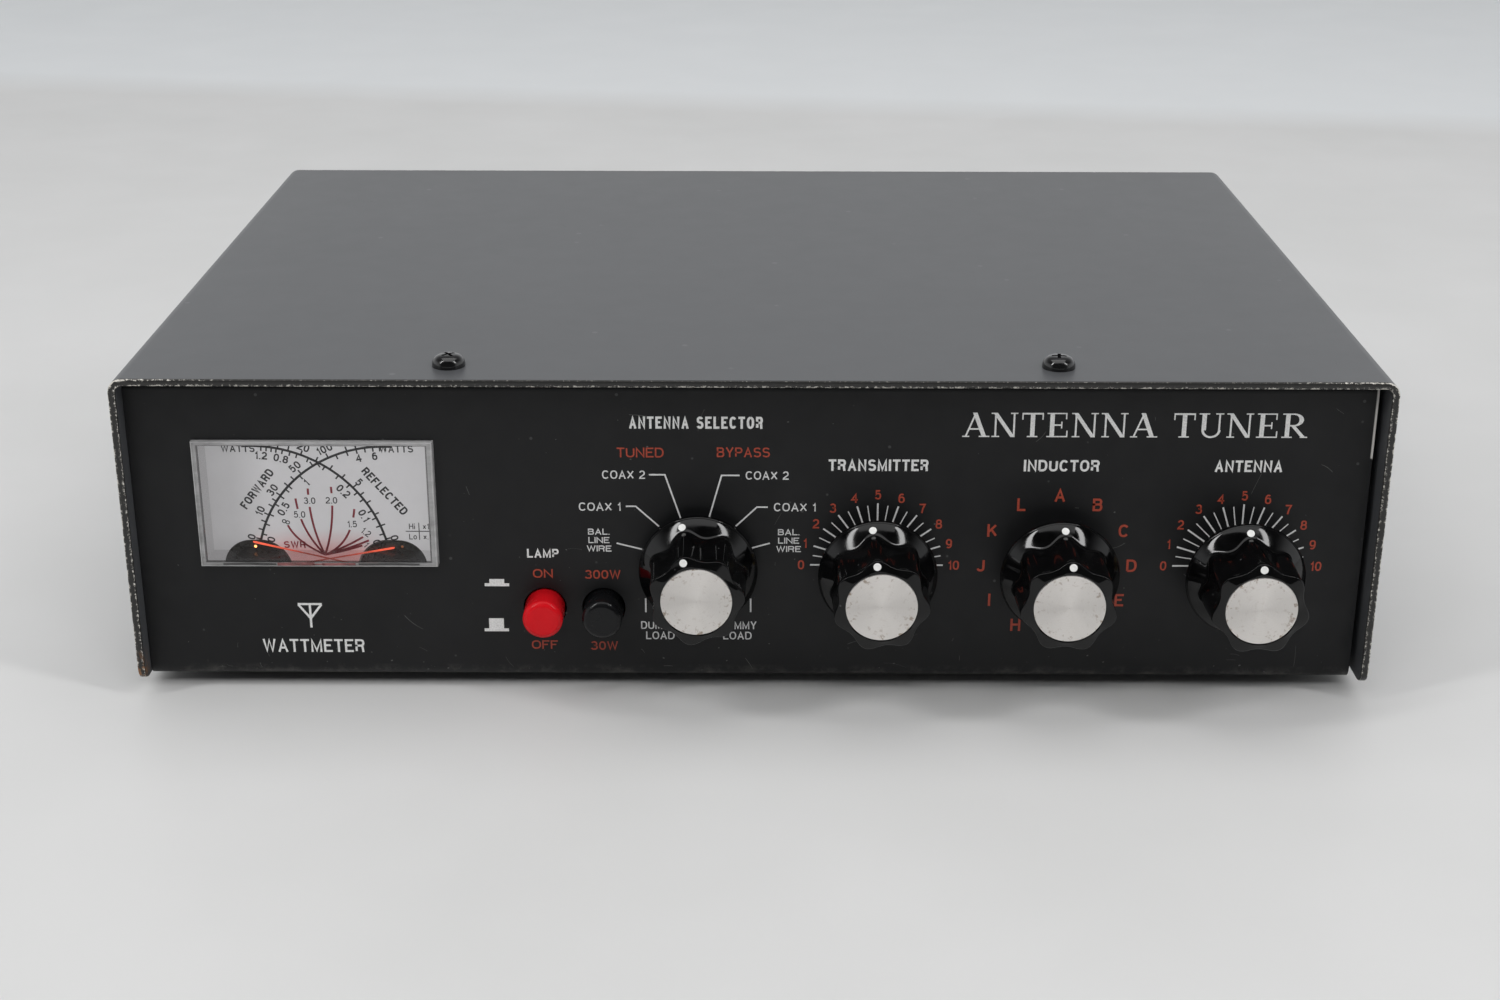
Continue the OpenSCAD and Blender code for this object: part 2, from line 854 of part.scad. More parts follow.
// Half-disc vanes on a hub and shaft; their middle lies at angle a
module capacitor_rotor(x, a) {
    along_y(x, knob_z, cap_y0 - 12, cap_y1 + 2.4, shaft_r);
    along_y(x, knob_z, vane_y0 - 1, vane_y0 + (vanes - 1) * vane_pitch + vane_t + 1, hub_r);
    turned(x, knob_z, a) for (i = [0:vanes - 1]) {
        y = vane_y0 + i * vane_pitch;
        difference() {
            along_y(0, 0, y, y + vane_t, rotor_r);
            block([-rotor_r - 1, y - 1, -rotor_r - 1], [vane_flat_x, y + 2, rotor_r + 1]);
        }
    }
}

module transmitter_rotor() {
    color("#d5d8da") capacitor_rotor(transmitter_x, transmitter_angle);
}

module antenna_rotor() {
    color("#d5d8da") capacitor_rotor(antenna_x, antenna_angle);
}

// An insulating shaft whose sleeve takes the end of the capacitor's shaft
module insulated_shaft(x, face) {
    sleeve_y0 = cap_y0 - 18;
    sleeve_y1 = cap_y0 - 4;
    difference() {
        union() {
            along_y(x, knob_z, face + 2.4, sleeve_y0, shaft_r);
            along_y(x, knob_z, sleeve_y0, sleeve_y1, 6);
        }
        along_y(x, knob_z, cap_y0 - 12.4, sleeve_y1 + 1, bore_r);
    }
}

module transmitter_shaft() {
    color("#caa36a") insulated_shaft(transmitter_x, transmitter_face);
}

module antenna_shaft() {
    color("#caa36a") insulated_shaft(antenna_x, antenna_face);
}

module panel_bushings() {
    color("#c2a560") for (x = [transmitter_x, antenna_x]) {
        difference() {
            union() {
                along_y(x, knob_z, inductor_bushing_y, inner_y, bushing_r);
                along_y(x, knob_z, inner_y, inner_y + 1.5, 7.5);
            }
            along_y(x, knob_z, inductor_bushing_y - 1, inner_y + 3, bore_r);
        }
    }
}

module hex_nuts() {
    color("#c9ccd0") {
        for (x = [selector_x, transmitter_x, inductor_x, antenna_x]) {
            hex_nut(x, knob_z, panel_y - nut_t, nut_t, nut_af, bushing_hole_r);
        }
        for (x = wire_xs) {
            hex_nut(x, rear_z, rear_y + cone_h, stud_nut_t, nut_small_af, stud_r + 0.05);
        }
        hex_nut(ground_x, rear_z, rear_y, stud_nut_t, nut_small_af, stud_r + 0.05);
    }
}

// Pan-head machine screws of the sockets, boards, capacitors and coil
module machine_screws() {
    color("#c4c7ca") {
        for (x = coax_xs, dx = [-1, 1], dz = [-1, 1]) {
            translate([x + dx * flange_screw, rear_y + flange_t, rear_z + dz * flange_screw])
                rotate([-90, 0, 0]) pan_screw(2.6, 1.9, screw_r, 7);
        }
        for (p = push_board_holes) {
            translate([p[0], p[1], push_board_z + push_board_t])
                pan_screw(2.6, 1.9, screw_r, 7);
        }
        for (p = board_holes) {
            translate([p[0], p[1], board_z + board_t]) pan_screw(2.6, 1.9, screw_r, 7);
        }
        for (p = bottom_screws()) {
            translate([p[0], p[1], foot_h]) mirror([0, 0, 1]) pan_screw(2.6, 1.9, screw_r, 7);
        }
    }
}

// ---- coil and balun ----

// Points on a ring of n sides at height h along the helix, which runs along +X
function helix_ring(t, n) = let (
        a = t * 360,
        cx = coil_x0 + t * coil_pitch,
        out = [0, cos(a), sin(a)]
    )
    [for (k = [0:n - 1]) let (b = k * 360 / n)
        [cx + wire_r * cos(b), 0, 0] + (coil_r + wire_r * sin(b)) * out];

// A tube through rings of n points each
module tube_through(rings, n) {
    m = len(rings);
    points = [for (ring = rings) for (p = ring) p];
    sides = [for (i = [0:m - 2], k = [0:n - 1], half = [0, 1])
        let (a = i * n + k, b = i * n + (k + 1) % n)
        half == 0 ? [a, a + n, b + n] : [a, b + n, b]];
    ends = [[for (k = [0:n - 1]) k], [for (k = [n - 1:-1:0]) (m - 1) * n + k]];
    polyhedron(points = points, faces = concat(sides, ends), convexity = 10);
}

module coil_winding() {
    steps = 16;
    color("#c87a3a") translate([0, coil_y, coil_z])
        tube_through([for (i = [0:coil_turns * steps]) helix_ring(i / steps, 6)], 6);
}

// Clear bars that hold the turns, on two end posts
module coil_ribs() {
    color([0.8, 0.85, 0.88, 0.6]) difference() {
        union() {
            for (a = [45:90:315]) {
                translate([0, coil_y, coil_z]) rotate([a, 0, 0])
                    block([coil_posts[0], coil_r - 2, -1.25],
                        [coil_posts[1] + coil_post_t, coil_r + 2.5, 1.25]);
            }
            for (x = coil_posts) {
                block([x, coil_y - 16, floor_z], [x + coil_post_t, coil_y + 16, coil_z + 14]);
            }
        }
        for (p = bottom_screws()) {
            translate([p[0], p[1], floor_z - 1]) cylinder(h = 8, r = screw_r + 0.05);
        }
    }
}

module balun_core() {
    color("#4d4f46") translate([balun_pos[0], balun_pos[1], balun_z0]) difference() {
        cylinder(h = balun_h, r = balun_ro);
        translate([0, 0, -1]) cylinder(h = balun_h + 2, r = balun_ri);
    }
}

// One turn of wire round the core, as a squared loop
module core_turn(ri, ro, h, wire) {
    gap = 0.1;
    translate([ri - gap - wire, wire / 2, -gap - wire]) rotate([90, 0, 0]) linear_extrude(wire)
        difference() {
            square([ro - ri + 2 * (gap + wire), h + 2 * (gap + wire)]);
            translate([wire, wire]) square([ro - ri + 2 * gap, h + 2 * gap]);
        }
}

module balun_winding() {
    color("#c24a2c") translate([balun_pos[0], balun_pos[1], balun_z0])
        for (i = [0:balun_turns - 1], side = [-1, 1]) {
            rotate([0, 0, i * 360 / balun_turns + side * 5])
                core_turn(balun_ri, balun_ro, balun_h, balun_wire);
        }
}

// ---- coupler board ----

module coupler_board() {
    color("#2f6b3a") difference() {
        block([board_x0, board_y0, board_z],
            [board_x0 + board_w, board_y0 + board_d, board_z + board_t]);
        for (p = board_holes) {
            translate([p[0], p[1], board_z - 1]) cylinder(h = 4, r = screw_hole_r);
        }
    }
}

// Current transformer, trimmers, diodes and resistors on the board
module coupler_parts() {
    top = board_z + board_t;
    x = board_x0;
    y = board_y0;
    color("#6f5b3e") {
        difference() {
            along_y(x + 20, top + 7.5, y + 30, y + 36, 7.5);
            along_y(x + 20, top + 7.5, y + 29, y + 37, 3.5);
        }
        for (dx = [32, 41]) {
            translate([x + dx, y + 34, top]) cylinder(h = 4, r = 3.4);
            translate([x + dx, y + 34, top + 4]) cylinder(h = 1, r = 2);
        }
        for (i = [0:4]) {
            translate([x + 8 + i * 8, y + 16, top + 1.2]) rotate([-90, 0, 0])
                cylinder(h = 6.5, r = 1.2);
        }
        for (i = [0:2]) {
            translate([x + 12 + i * 10, y + 8, top]) cube([5, 2.4, 5]);
        }
    }
}

// ---- back ----

module coax_sockets() {
    color("#c2c5c8") for (x = coax_xs) {
        difference() {
            union() {
                block([x - flange_w / 2, rear_y, rear_z - flange_w / 2],
                    [x + flange_w / 2, rear_y + flange_t, rear_z + flange_w / 2]);
                along_y(x, rear_z, rear_y + flange_t, rear_y + barrel_len, barrel_r);
                along_y(x, rear_z, rear_inner_y - 3, rear_y, socket_body_r);
            }
            along_y(x, rear_z, rear_y + barrel_len - socket_depth, rear_y + barrel_len + 1,
                socket_bore_r);
            along_y(x, rear_z, rear_inner_y - 4, rear_y + barrel_len, 5.2);
            for (dx = [-1, 1], dz = [-1, 1]) {
                along_y(x + dx * flange_screw, rear_z + dz * flange_screw, rear_y - 1,
                    rear_y + flange_t + 1, screw_hole_r);
            }
        }
    }
}

module coax_insulators() {
    color("#f1efe8") for (x = coax_xs) {
        difference() {
            along_y(x, rear_z, rear_inner_y - 3, rear_y + barrel_len - socket_depth, 5.2);
            along_y(x, rear_z, rear_inner_y - 4, rear_y + barrel_len, contact_r);
        }
    }
}

module coax_contacts() {
    color("#d9c88a") for (x = coax_xs) {
        difference() {
            along_y(x, rear_z, rear_inner_y - 9, rear_y + barrel_len - socket_depth, contact_r);
            along_y(x, rear_z, rear_y, rear_y + barrel_len, contact_bore_r);
        }
    }
}

// Ceramic cones outside and washers inside the rear panel
module terminal_insulators() {
    color("#ece9df") for (x = wire_xs) {
        difference() {
            union() {
                cone_y(x, rear_z, rear_y, rear_y + cone_h, cone_r0, cone_r1);
                along_y(x, rear_z, rear_inner_y, rear_y, 5);
                along_y(x, rear_z, rear_inner_y - 6, rear_inner_y, 7);
            }
            along_y(x, rear_z, rear_inner_y - 7, rear_y + cone_h + 1, stud_r + 0.05);
        }
    }
}

module terminal_studs() {
    color("#c9ccd0") {
        for (x = wire_xs) {
            along_y(x, rear_z, rear_inner_y - 12, cover_y1 + rear_reach, stud_r);
        }
        along_y(ground_x, rear_z, rear_inner_y - 5, cover_y1 + 13, stud_r);
        along_y(ground_x, rear_z, rear_inner_y - 3, rear_inner_y, 4.6);
    }
}

// A wing nut along +Y from y0
module wing_nut(x, y0) {
    difference() {
        union() {
            cone_y(x, rear_z, y0, y0 + wing_len, 4.8, 3.8);
            for (side = [-1, 1]) {
                translate([x + side * 6.4, y0 + 4.2, rear_z]) {
                    intersection() {
                        cylinder(h = 1.8, r = 4, center = true);
                        translate([0, 0.8, 0]) cube([8, 5.6, 2], center = true);
                    }
                }
            }
        }
        along_y(x, rear_z, y0 - 1, y0 + 12, stud_r + running_gap);
    }
}

module wing_nut_wire() {
    color("#cfd2d4") wing_nut(wire_xs[0], rear_y + cone_h + stud_nut_t + 0.4);
}

module wing_nut_line_a() {
    color("#cfd2d4") wing_nut(wire_xs[1], rear_y + cone_h + stud_nut_t + 0.4);
}

module wing_nut_line_b() {
    color("#cfd2d4") wing_nut(wire_xs[2], rear_y + cone_h + stud_nut_t + 0.4);
}

module wing_nut_ground() {
    color("#cfd2d4") wing_nut(ground_x, rear_y + stud_nut_t + 0.4);
}

// A barrel jack with its centre pin, for the meter lamp's supply
module dc_jack() {
    color("#1a1a1c") {
        difference() {
            union() {
                block([jack_x - 5, rear_inner_y - 13, jack_z - 6],
                    [jack_x + 5, rear_inner_y, jack_z + 6]);
                along_y(jack_x, jack_z, rear_inner_y, rear_y, 4);
                along_y(jack_x, jack_z, rear_y, rear_y + 1.6, 5.5);
            }
            along_y(jack_x, jack_z, rear_y + 1.6 - 9.5, rear_y + 3, 2.8);
        }
        along_y(jack_x, jack_z, rear_y + 1.6 - 9.5, rear_y, 1.05);
    }
}

// ---- wiring ----

// Unit vector along v
function unit(v) = v / norm(v);

// A ring of n points round point i of a wire, square to its mean direction there;
// no stretch of a wire runs along X
function wire_ring(points, i, r, n) = let (
        before = unit(points[max(i, 1)] - points[max(i - 1, 0)]),
        after = unit(points[min(i + 1, len(points) - 1)] - points[min(i, len(points) - 2)]),
        along = unit(before + after),
        side = unit(cross(along, [1, 0, 0])),
        up = cross(along, side)
    )
    [for (k = [0:n - 1]) let (a = k * 360 / n) points[i] + r * (cos(a) * side + sin(a) * up)];

// A stiff wire through points
module wire(points, r) {
    tube_through([for (i = [0:len(points) - 1]) wire_ring(points, i, r, 6)], 6);
}

contact_end_y = rear_inner_y - 9;
wire_top_z = 64.5;

module hookup_wires() {
    r = 0.7;
    color("#c9703a") {
        // coaxial contacts up and forward to the selector's last wafer
        for (i = [1:3]) {
            x = selector_x + (i - 2) * 5;
            y = inner_y + selector_wafers[2] + 6;
            wire([[coax_xs[i], contact_end_y - 0.1, rear_z],
                [coax_xs[i], contact_end_y - 4, rear_z],
                [coax_xs[i], contact_end_y - 4, wire_top_z],
                [x, y + 4 + i * 3, wire_top_z],
                [x, y + 4 + i * 3, knob_z + wafer_r + 1]], r);
        }
        // transmitter socket down to the coupler board
        wire([[coax_xs[0], contact_end_y - 0.1, rear_z],
            [coax_xs[0], contact_end_y - 4, rear_z],
            [coax_xs[0], contact_end_y - 4, board_z + board_t + 7.5],
            [board_x0 + 20, board_y0 + 34, board_z + board_t + 7.5],
            [board_x0 + 20, board_y0 + 26, board_z + board_t + 7.5]], r);
        // stator of the antenna capacitor back to the wire terminal
        wire([[antenna_x + stator_rod[0], cap_y1 + 1.6, knob_z + stator_rod[1]],
            [antenna_x + stator_rod[0] + 1, cap_y1 + 4, knob_z + stator_rod[1]],
            [antenna_x - 5, cap_y1 + 12, knob_z + stator_rod[1]],
            [antenna_x - 5, coil_y + 30, knob_z + stator_rod[1]],
            [wire_xs[2], rear_inner_y - 18, rear_z],
            [wire_xs[2], rear_inner_y - 12.1, rear_z]], r);
    }
}

chassis();
cover();
cover_screws();
rubber_feet();
meter_window();
meter_case();
meter_dial();
meter_movements();
meter_lamp();
needle_forward();
needle_reflected();
lamp_button();
range_button();
lamp_plunger();
range_plunger();
push_switch_bodies();
push_switch_board();
spacers();
switch_frames();
switch_wafers();
switch_contacts();
selector_shaft();
selector_rotors();
selector_knob();
selector_inlay();
inductor_shaft();
inductor_rotors();
inductor_knob();
inductor_inlay();
capacitor_frames();
capacitor_stators();
capacitor_insulators();
panel_bushings();
transmitter_rotor();
transmitter_shaft();
transmitter_knob();
transmitter_inlay();
antenna_rotor();
antenna_shaft();
antenna_knob();
antenna_inlay();
hex_nuts();
machine_screws();
coil_winding();
coil_ribs();
balun_core();
balun_winding();
coupler_board();
coupler_parts();
coax_sockets();
coax_insulators();
coax_contacts();
terminal_insulators();
terminal_studs();
wing_nut_wire();
wing_nut_line_a();
wing_nut_line_b();
wing_nut_ground();
dc_jack();
hookup_wires();
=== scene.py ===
import json
import math
import random

import bmesh
import bpy
from mathutils import Matrix, Vector


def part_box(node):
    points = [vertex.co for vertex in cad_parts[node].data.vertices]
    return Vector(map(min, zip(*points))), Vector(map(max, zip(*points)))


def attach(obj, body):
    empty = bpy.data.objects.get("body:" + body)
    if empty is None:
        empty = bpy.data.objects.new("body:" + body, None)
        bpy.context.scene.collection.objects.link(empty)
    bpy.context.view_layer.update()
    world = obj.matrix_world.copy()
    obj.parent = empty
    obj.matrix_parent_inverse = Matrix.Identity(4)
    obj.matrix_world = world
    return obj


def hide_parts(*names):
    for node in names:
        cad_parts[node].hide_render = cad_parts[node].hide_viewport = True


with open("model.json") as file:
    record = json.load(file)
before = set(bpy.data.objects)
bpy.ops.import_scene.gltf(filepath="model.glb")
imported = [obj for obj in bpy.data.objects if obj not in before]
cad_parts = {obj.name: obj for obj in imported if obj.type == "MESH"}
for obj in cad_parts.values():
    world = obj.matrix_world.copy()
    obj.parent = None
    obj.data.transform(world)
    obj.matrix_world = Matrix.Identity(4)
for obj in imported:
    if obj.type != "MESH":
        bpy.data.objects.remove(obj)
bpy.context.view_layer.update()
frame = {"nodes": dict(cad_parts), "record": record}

# Lengths below are in millimetres; MM turns them into Blender's metres.
MM = 0.001


def node_box(node):
    """Lowest and highest corner of a CAD node, in millimetres."""
    low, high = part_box(node)
    return Vector(low) / MM, Vector(high) / MM


def middle(node):
    """Centre of a CAD node, in millimetres."""
    low, high = node_box(node)
    return (low + high) / 2


COVER_LOW, COVER_HIGH = node_box("cover")
PANEL_LOW, PANEL_HIGH = node_box("chassis")
PANEL_Y = PANEL_LOW.y                   # outer face of the front panel
REAR_Y = PANEL_HIGH.y                   # outer face of the rear panel
SHEET = 1.5                             # thickness of cover and chassis
METER = Vector((middle("meter_window").x, 0, 43.65))    # centre of the meter's window
WINDOW_W, WINDOW_H = 50.8, 28.4
KNOBS = ("selector", "transmitter", "inductor", "antenna")
KNOB_ANGLE = {"selector": 107, "transmitter": 97, "inductor": 88, "antenna": 91}   # of the dots at rest
CONE_NUTS = ("wing_nut_wire", "wing_nut_line_a", "wing_nut_line_b")     # those over a ceramic cone


# ---------------------------------------------------------------- camera, light, floor

def camera():
    """The photograph's viewpoint: a little above the case, looking down at its front."""
    eye = Vector((0.28, -524.64, 215.99))
    pitch, roll, yaw = -0.375, -0.002, 0.003
    data = bpy.data.cameras.new("camera")
    data.sensor_width = 36
    data.lens = 52.83
    data.clip_start = 0.01
    data.clip_end = 20
    cam = bpy.data.objects.new("camera", data)
    bpy.context.collection.objects.link(cam)
    turn = Matrix.Rotation(yaw, 3, "Z") @ Matrix.Rotation(roll, 3, "Y") @ Matrix.Rotation(pitch, 3, "X")
    right, forward, up = (turn @ Vector(axis) for axis in ((1, 0, 0), (0, 1, 0), (0, 0, 1)))
    place = Matrix((right, up, -forward)).transposed().to_4x4()
    place.translation = eye * MM
    cam.matrix_world = place
    bpy.context.scene.camera = cam


def area_light(name, place, target, size, power):
    """A white rectangular soft box; place and target in millimetres, size in metres."""
    data = bpy.data.lights.new(name, "AREA")
    data.shape = "RECTANGLE"
    data.size, data.size_y = size
    data.energy = power
    light = bpy.data.objects.new(name, data)
    bpy.context.collection.objects.link(light)
    light.location = Vector(place) * MM
    light.rotation_euler = (Vector(target) - Vector(place)).to_track_quat("-Z", "Y").to_euler()
    return light


def studio():
    """Overhead and front soft boxes, two narrow side lights and pale walls in a dim room."""
    area_light("light_top", (0, 40, 2000), (0, 0, 0), (2.0, 1.8), 17)
    for name, side, power in (("light_left", -1, 8), ("light_right", 1, 7)):
        area_light(name, (side * 1180, -700, 1380), (0, 0, 30), (0.17, 1.0), power)
    front = area_light("light_front", (0, -1250, 1350), (0, -150, 0), (1.8, 0.5), 11.5)
    front.visible_glossy = False
    world = bpy.data.worlds.new("surround")
    world.use_nodes = True
    sky = Nodes(world.node_tree)
    light = sky.tree.nodes["Background"].inputs
    light["Color"].default_value = (0.97, 0.985, 1, 1)
    x, y, z = sky.split(sky.add("ShaderNodeTexCoord").outputs["Generated"])
    back = sky.ramp(y, -0.2, 0.5, 0.06, 0.80)
    sides = sky.ramp(sky.math("ABSOLUTE", x), 0.72, 0.9, 0.0, 0.9)
    low_down = sky.ramp(z, 0.3, 0.62, 1.0, 0.3)
    sky.put(sky.times(sky.math("MAXIMUM", back, sides), low_down), light["Strength"])
    bpy.context.scene.world = world
    bpy.context.scene.view_settings.view_transform = "Standard"


# ---------------------------------------------------------------- shader helpers

class Nodes:
    """A node tree with short ways to add and join nodes."""

    def __init__(self, tree):
        self.tree = tree

    def add(self, kind, **values):
        node = self.tree.nodes.new(kind)
        for key, value in values.items():
            setattr(node, key, value)
        return node

    def put(self, value, socket):
        """Links value if it is a socket, and sets it as a constant if not."""
        if isinstance(value, bpy.types.NodeSocket):
            self.tree.links.new(value, socket)
        elif isinstance(value, tuple) and len(value) == 3 and socket.type == "RGBA":
            socket.default_value = (*value, 1)
        else:
            socket.default_value = value

    def ramp(self, value, low, high, start=0.0, end=1.0):
        """value from low..high to start..end, held at both ends."""
        node = self.add("ShaderNodeMapRange")
        for key, item in (("Value", value), ("From Min", low), ("From Max", high),
                          ("To Min", start), ("To Max", end)):
            self.put(item, node.inputs[key])
        return node.outputs["Result"]

    def math(self, operation, *values):
        node = self.add("ShaderNodeMath", operation=operation)
        for value, socket in zip(values, node.inputs):
            self.put(value, socket)
        return node.outputs[0]

    def times(self, a, b):
        return self.math("MULTIPLY", a, b)

    def mix(self, amount, a, b):
        node = self.add("ShaderNodeMix", data_type="RGBA")
        for key, value in (("Factor", amount), ("A", a), ("B", b)):
            self.put(value, node.inputs[key])
        return node.outputs["Result"]

    def split(self, vector):
        """The x, y and z sockets of a vector."""
        node = self.add("ShaderNodeSeparateXYZ")
        self.put(vector, node.inputs[0])
        return node.outputs


class Shader(Nodes):
    """The nodes of a new material."""

    def __init__(self, name):
        self.material = bpy.data.materials.new(name)
        self.material.use_nodes = True
        super().__init__(self.material.node_tree)
        self.surface = self.tree.nodes["Principled BSDF"]
        self.coordinates = self.add("ShaderNodeTexCoord").outputs["Object"]

    def noise(self, size, detail=3, roughness=0.55, vector=None):
        """Noise whose features are about size millimetres."""
        node = self.add("ShaderNodeTexNoise")
        for key, value in (("Vector", vector or self.coordinates), ("Scale", 1 / (size * MM)),
                           ("Detail", detail), ("Roughness", roughness)):
            self.put(value, node.inputs[key])
        return node.outputs["Fac"]

    def cloud(self, size, detail, start=0.0, end=1.0):
        """Noise spread over start..end."""
        return self.ramp(self.noise(size, detail), 0.3, 0.7, start, end)

    def stripes(self, value, scale, detail):
        """Noise that changes only with value."""
        node = self.add("ShaderNodeTexNoise", noise_dimensions="1D")
        for key, item in (("W", self.times(value, scale)), ("Scale", 1), ("Detail", detail)):
            self.put(item, node.inputs[key])
        return node.outputs["Fac"]

    def bump(self, height, strength, distance):
        node = self.add("ShaderNodeBump")
        for key, value in (("Height", height), ("Strength", strength), ("Distance", distance * MM)):
            self.put(value, node.inputs[key])
        self.put(node.outputs["Normal"], self.surface.inputs["Normal"])

    def grain(self, size, detail, strength, distance):
        self.bump(self.noise(size, detail), strength, distance)

    def set(self, **values):
        """Sets or links sockets of the surface; underscores stand for spaces."""
        for key, value in values.items():
            self.put(value, self.surface.inputs[key.replace("_", " ")])


def tint(colour, factor):
    return tuple(min(1, c * factor) for c in colour)


def specks(sh, size, spread):
    """Small round grains of dust, 0 to 1; spread is the share of cells that hold one."""
    cells = sh.add("ShaderNodeTexVoronoi")
    sh.put(sh.coordinates, cells.inputs["Vector"])
    cells.inputs["Scale"].default_value = 1 / (size * MM)
    spot = sh.ramp(cells.outputs["Distance"], 0.1, 0.16, 1, 0)
    pick = sh.add("ShaderNodeSeparateColor")
    sh.put(cells.outputs["Color"], pick.inputs[0])
    return sh.times(spot, sh.ramp(pick.outputs[0], spread, spread + 0.02, 1, 0))


def dusted(sh, base, size, share, amount, dust):
    """base with specks of the dust colour."""
    return sh.mix(sh.times(specks(sh, size, share), amount), base, dust)


def finish(name, colour, rough, metal=0.0, vary=0.15, patch=9.0, grain=0.25, depth=0.02,
           specular=0.5, coat=0.0):
    """A general finish: patchy colour, uneven gloss and a fine grain."""
    grain_size, rough_vary = 0.25, 0.08
    sh = Shader(name)
    sh.set(Base_Color=sh.mix(sh.cloud(patch, 4), tint(colour, 1 - vary), tint(colour, 1 + vary)),
           Roughness=sh.cloud(patch / 3, 5, rough - rough_vary, rough + rough_vary),
           Metallic=metal, Specular_IOR_Level=specular, Coat_Weight=coat)
    sh.grain(grain_size, 3, grain, depth)
    return sh.material


# ---------------------------------------------------------------- materials

def panel_paint():
    """Satin black paint with a little dust, a soiled foot and one bare strip on the right edge."""
    sh = Shader("panel_paint")
    x, _, z = sh.split(sh.coordinates)
    black = sh.mix(sh.cloud(30, 4), (0.0062, 0.0064, 0.007), (0.009, 0.0092, 0.0098))
    paint = dusted(sh, black, 2.6, 0.04, 0.14, (0.3, 0.3, 0.3))
    foot = sh.times(sh.ramp(z, 0.0062, 0.0042), sh.ramp(sh.noise(3.5, 5, 0.7), 0.48, 0.7, 0, 0.16))
    soiled = sh.mix(foot, paint, (0.4, 0.38, 0.35))
    edge = sh.ramp(x, (PANEL_HIGH.x - 0.55) * MM, (PANEL_HIGH.x - 0.35) * MM)
    upper = sh.ramp(sh.math("ADD", z, sh.cloud(6, 3, -0.003, 0.003)), 0.0548, 0.0556)
    sh.set(Base_Color=sh.mix(sh.times(edge, upper), soiled, (0.62, 0.6, 0.57)),
           Roughness=sh.cloud(5, 5, 0.42, 0.52), Specular_IOR_Level=0.3)
    sh.grain(0.3, 3, 0.18, 0.02)
    return sh.material


def cover_paint():
    """Satin charcoal paint, worn to dull metal where the mesh's wear attribute is high."""
    sh = Shader("cover_paint")
    x, y, z = sh.split(sh.coordinates)
    charcoal = sh.mix(sh.cloud(60, 2), (0.0725, 0.0751, 0.0803), (0.0755, 0.0783, 0.0836))
    paint = dusted(sh, charcoal, 5, 0.04, 0.12, (0.42, 0.42, 0.42))
    wear = sh.add("ShaderNodeAttribute", attribute_name="wear").outputs["Fac"]
    dirty = sh.mix(sh.ramp(wear, 0.12, 0.3), paint, (0.014, 0.0135, 0.0125))
    chips = sh.ramp(sh.noise(0.8, 5, 0.75), 0.47, 0.58)
    rim = sh.ramp(sh.math("ADD", wear, sh.times(chips, 0.45)), 0.92, 1.15)
    worn = sh.mix(rim, dirty, (0.66, 0.635, 0.58))
    corner = sh.times(sh.ramp(x, -0.1295, -0.1312), sh.ramp(z, 0.0115, 0.0065))
    spots = sh.times(corner, sh.ramp(sh.noise(1.2, 4), 0.45, 0.6))
    rust = sh.times(spots, sh.ramp(y, -0.090, -0.0935))
    sh.set(Base_Color=sh.mix(rust, worn, (0.25, 0.11, 0.035)),
           Roughness=sh.cloud(7, 5, 0.39, 0.41), Specular_IOR_Level=0.55)
    sh.grain(0.45, 3, 0.16, 0.03)
    return sh.material


def spun_metal():
    """Spun aluminium: fine rings about the axis, a painted radial sheen and small brown stains."""
    sh = Shader("spun_aluminium")
    turn, radius, _ = sh.split(sh.add("ShaderNodeUVMap", uv_map="polar").outputs["UV"])
    rings = sh.stripes(radius, 90, 3)
    # painted sheen: wedges round the axis lighten and darken the base colour in place of the spun finish's
    # radial highlight
    painted_sheen_wedges = sh.stripes(turn, 7, 2)
    stain = sh.ramp(sh.noise(1.1, 5, 0.65), 0.56, 0.66)
    brown = sh.times(stain, sh.ramp(radius, 0.6, 1.0, 0.12, 1))
    ring_and_sheen_tone = sh.ramp(sh.math("ADD", rings, sh.times(painted_sheen_wedges, 0.5)), 0.4, 1.1)
    clean = sh.mix(ring_and_sheen_tone, (0.72, 0.69, 0.66), (0.86, 0.83, 0.80))
    sh.set(Base_Color=sh.mix(sh.times(brown, 0.8), clean, (0.24, 0.15, 0.08)),
           Roughness=sh.ramp(rings, 0.3, 0.7, 0.30, 0.40), Metallic=0.9, Anisotropic=0.85)
    tangent = sh.add("ShaderNodeTangent", direction_type="UV_MAP", uv_map="polar")
    sh.put(tangent.outputs["Tangent"], sh.surface.inputs["Tangent"])
    sh.bump(rings, 0.12, 0.02)
    return sh.material


def knob_gloss():
    """Moulded black plastic with a deep gloss and faint handling haze."""
    sh = Shader("knob_black")
    haze = sh.ramp(sh.noise(4, 5), 0.35, 0.7)
    black = sh.mix(haze, (0.0015, 0.0015, 0.0016), (0.003, 0.003, 0.0033))
    sh.set(Base_Color=dusted(sh, black, 1.8, 0.05, 0.2, (0.3, 0.3, 0.3)),
           Roughness=sh.ramp(haze, 0, 1, 0.05, 0.12), Specular_IOR_Level=0.36)
    sh.grain(0.9, 3, 0.05, 0.03)
    return sh.material


def print_ink(name, colour):
    """Screen-printed ink: slightly uneven cover and a dry surface."""
    sh = Shader(name)
    thin = sh.ramp(sh.noise(0.35, 4, 0.7), 0.3, 0.62)
    sh.set(Base_Color=sh.mix(thin, tint(colour, 0.72), colour), Roughness=0.6)
    sh.grain(0.2, 2, 0.2, 0.01)
    return sh.material


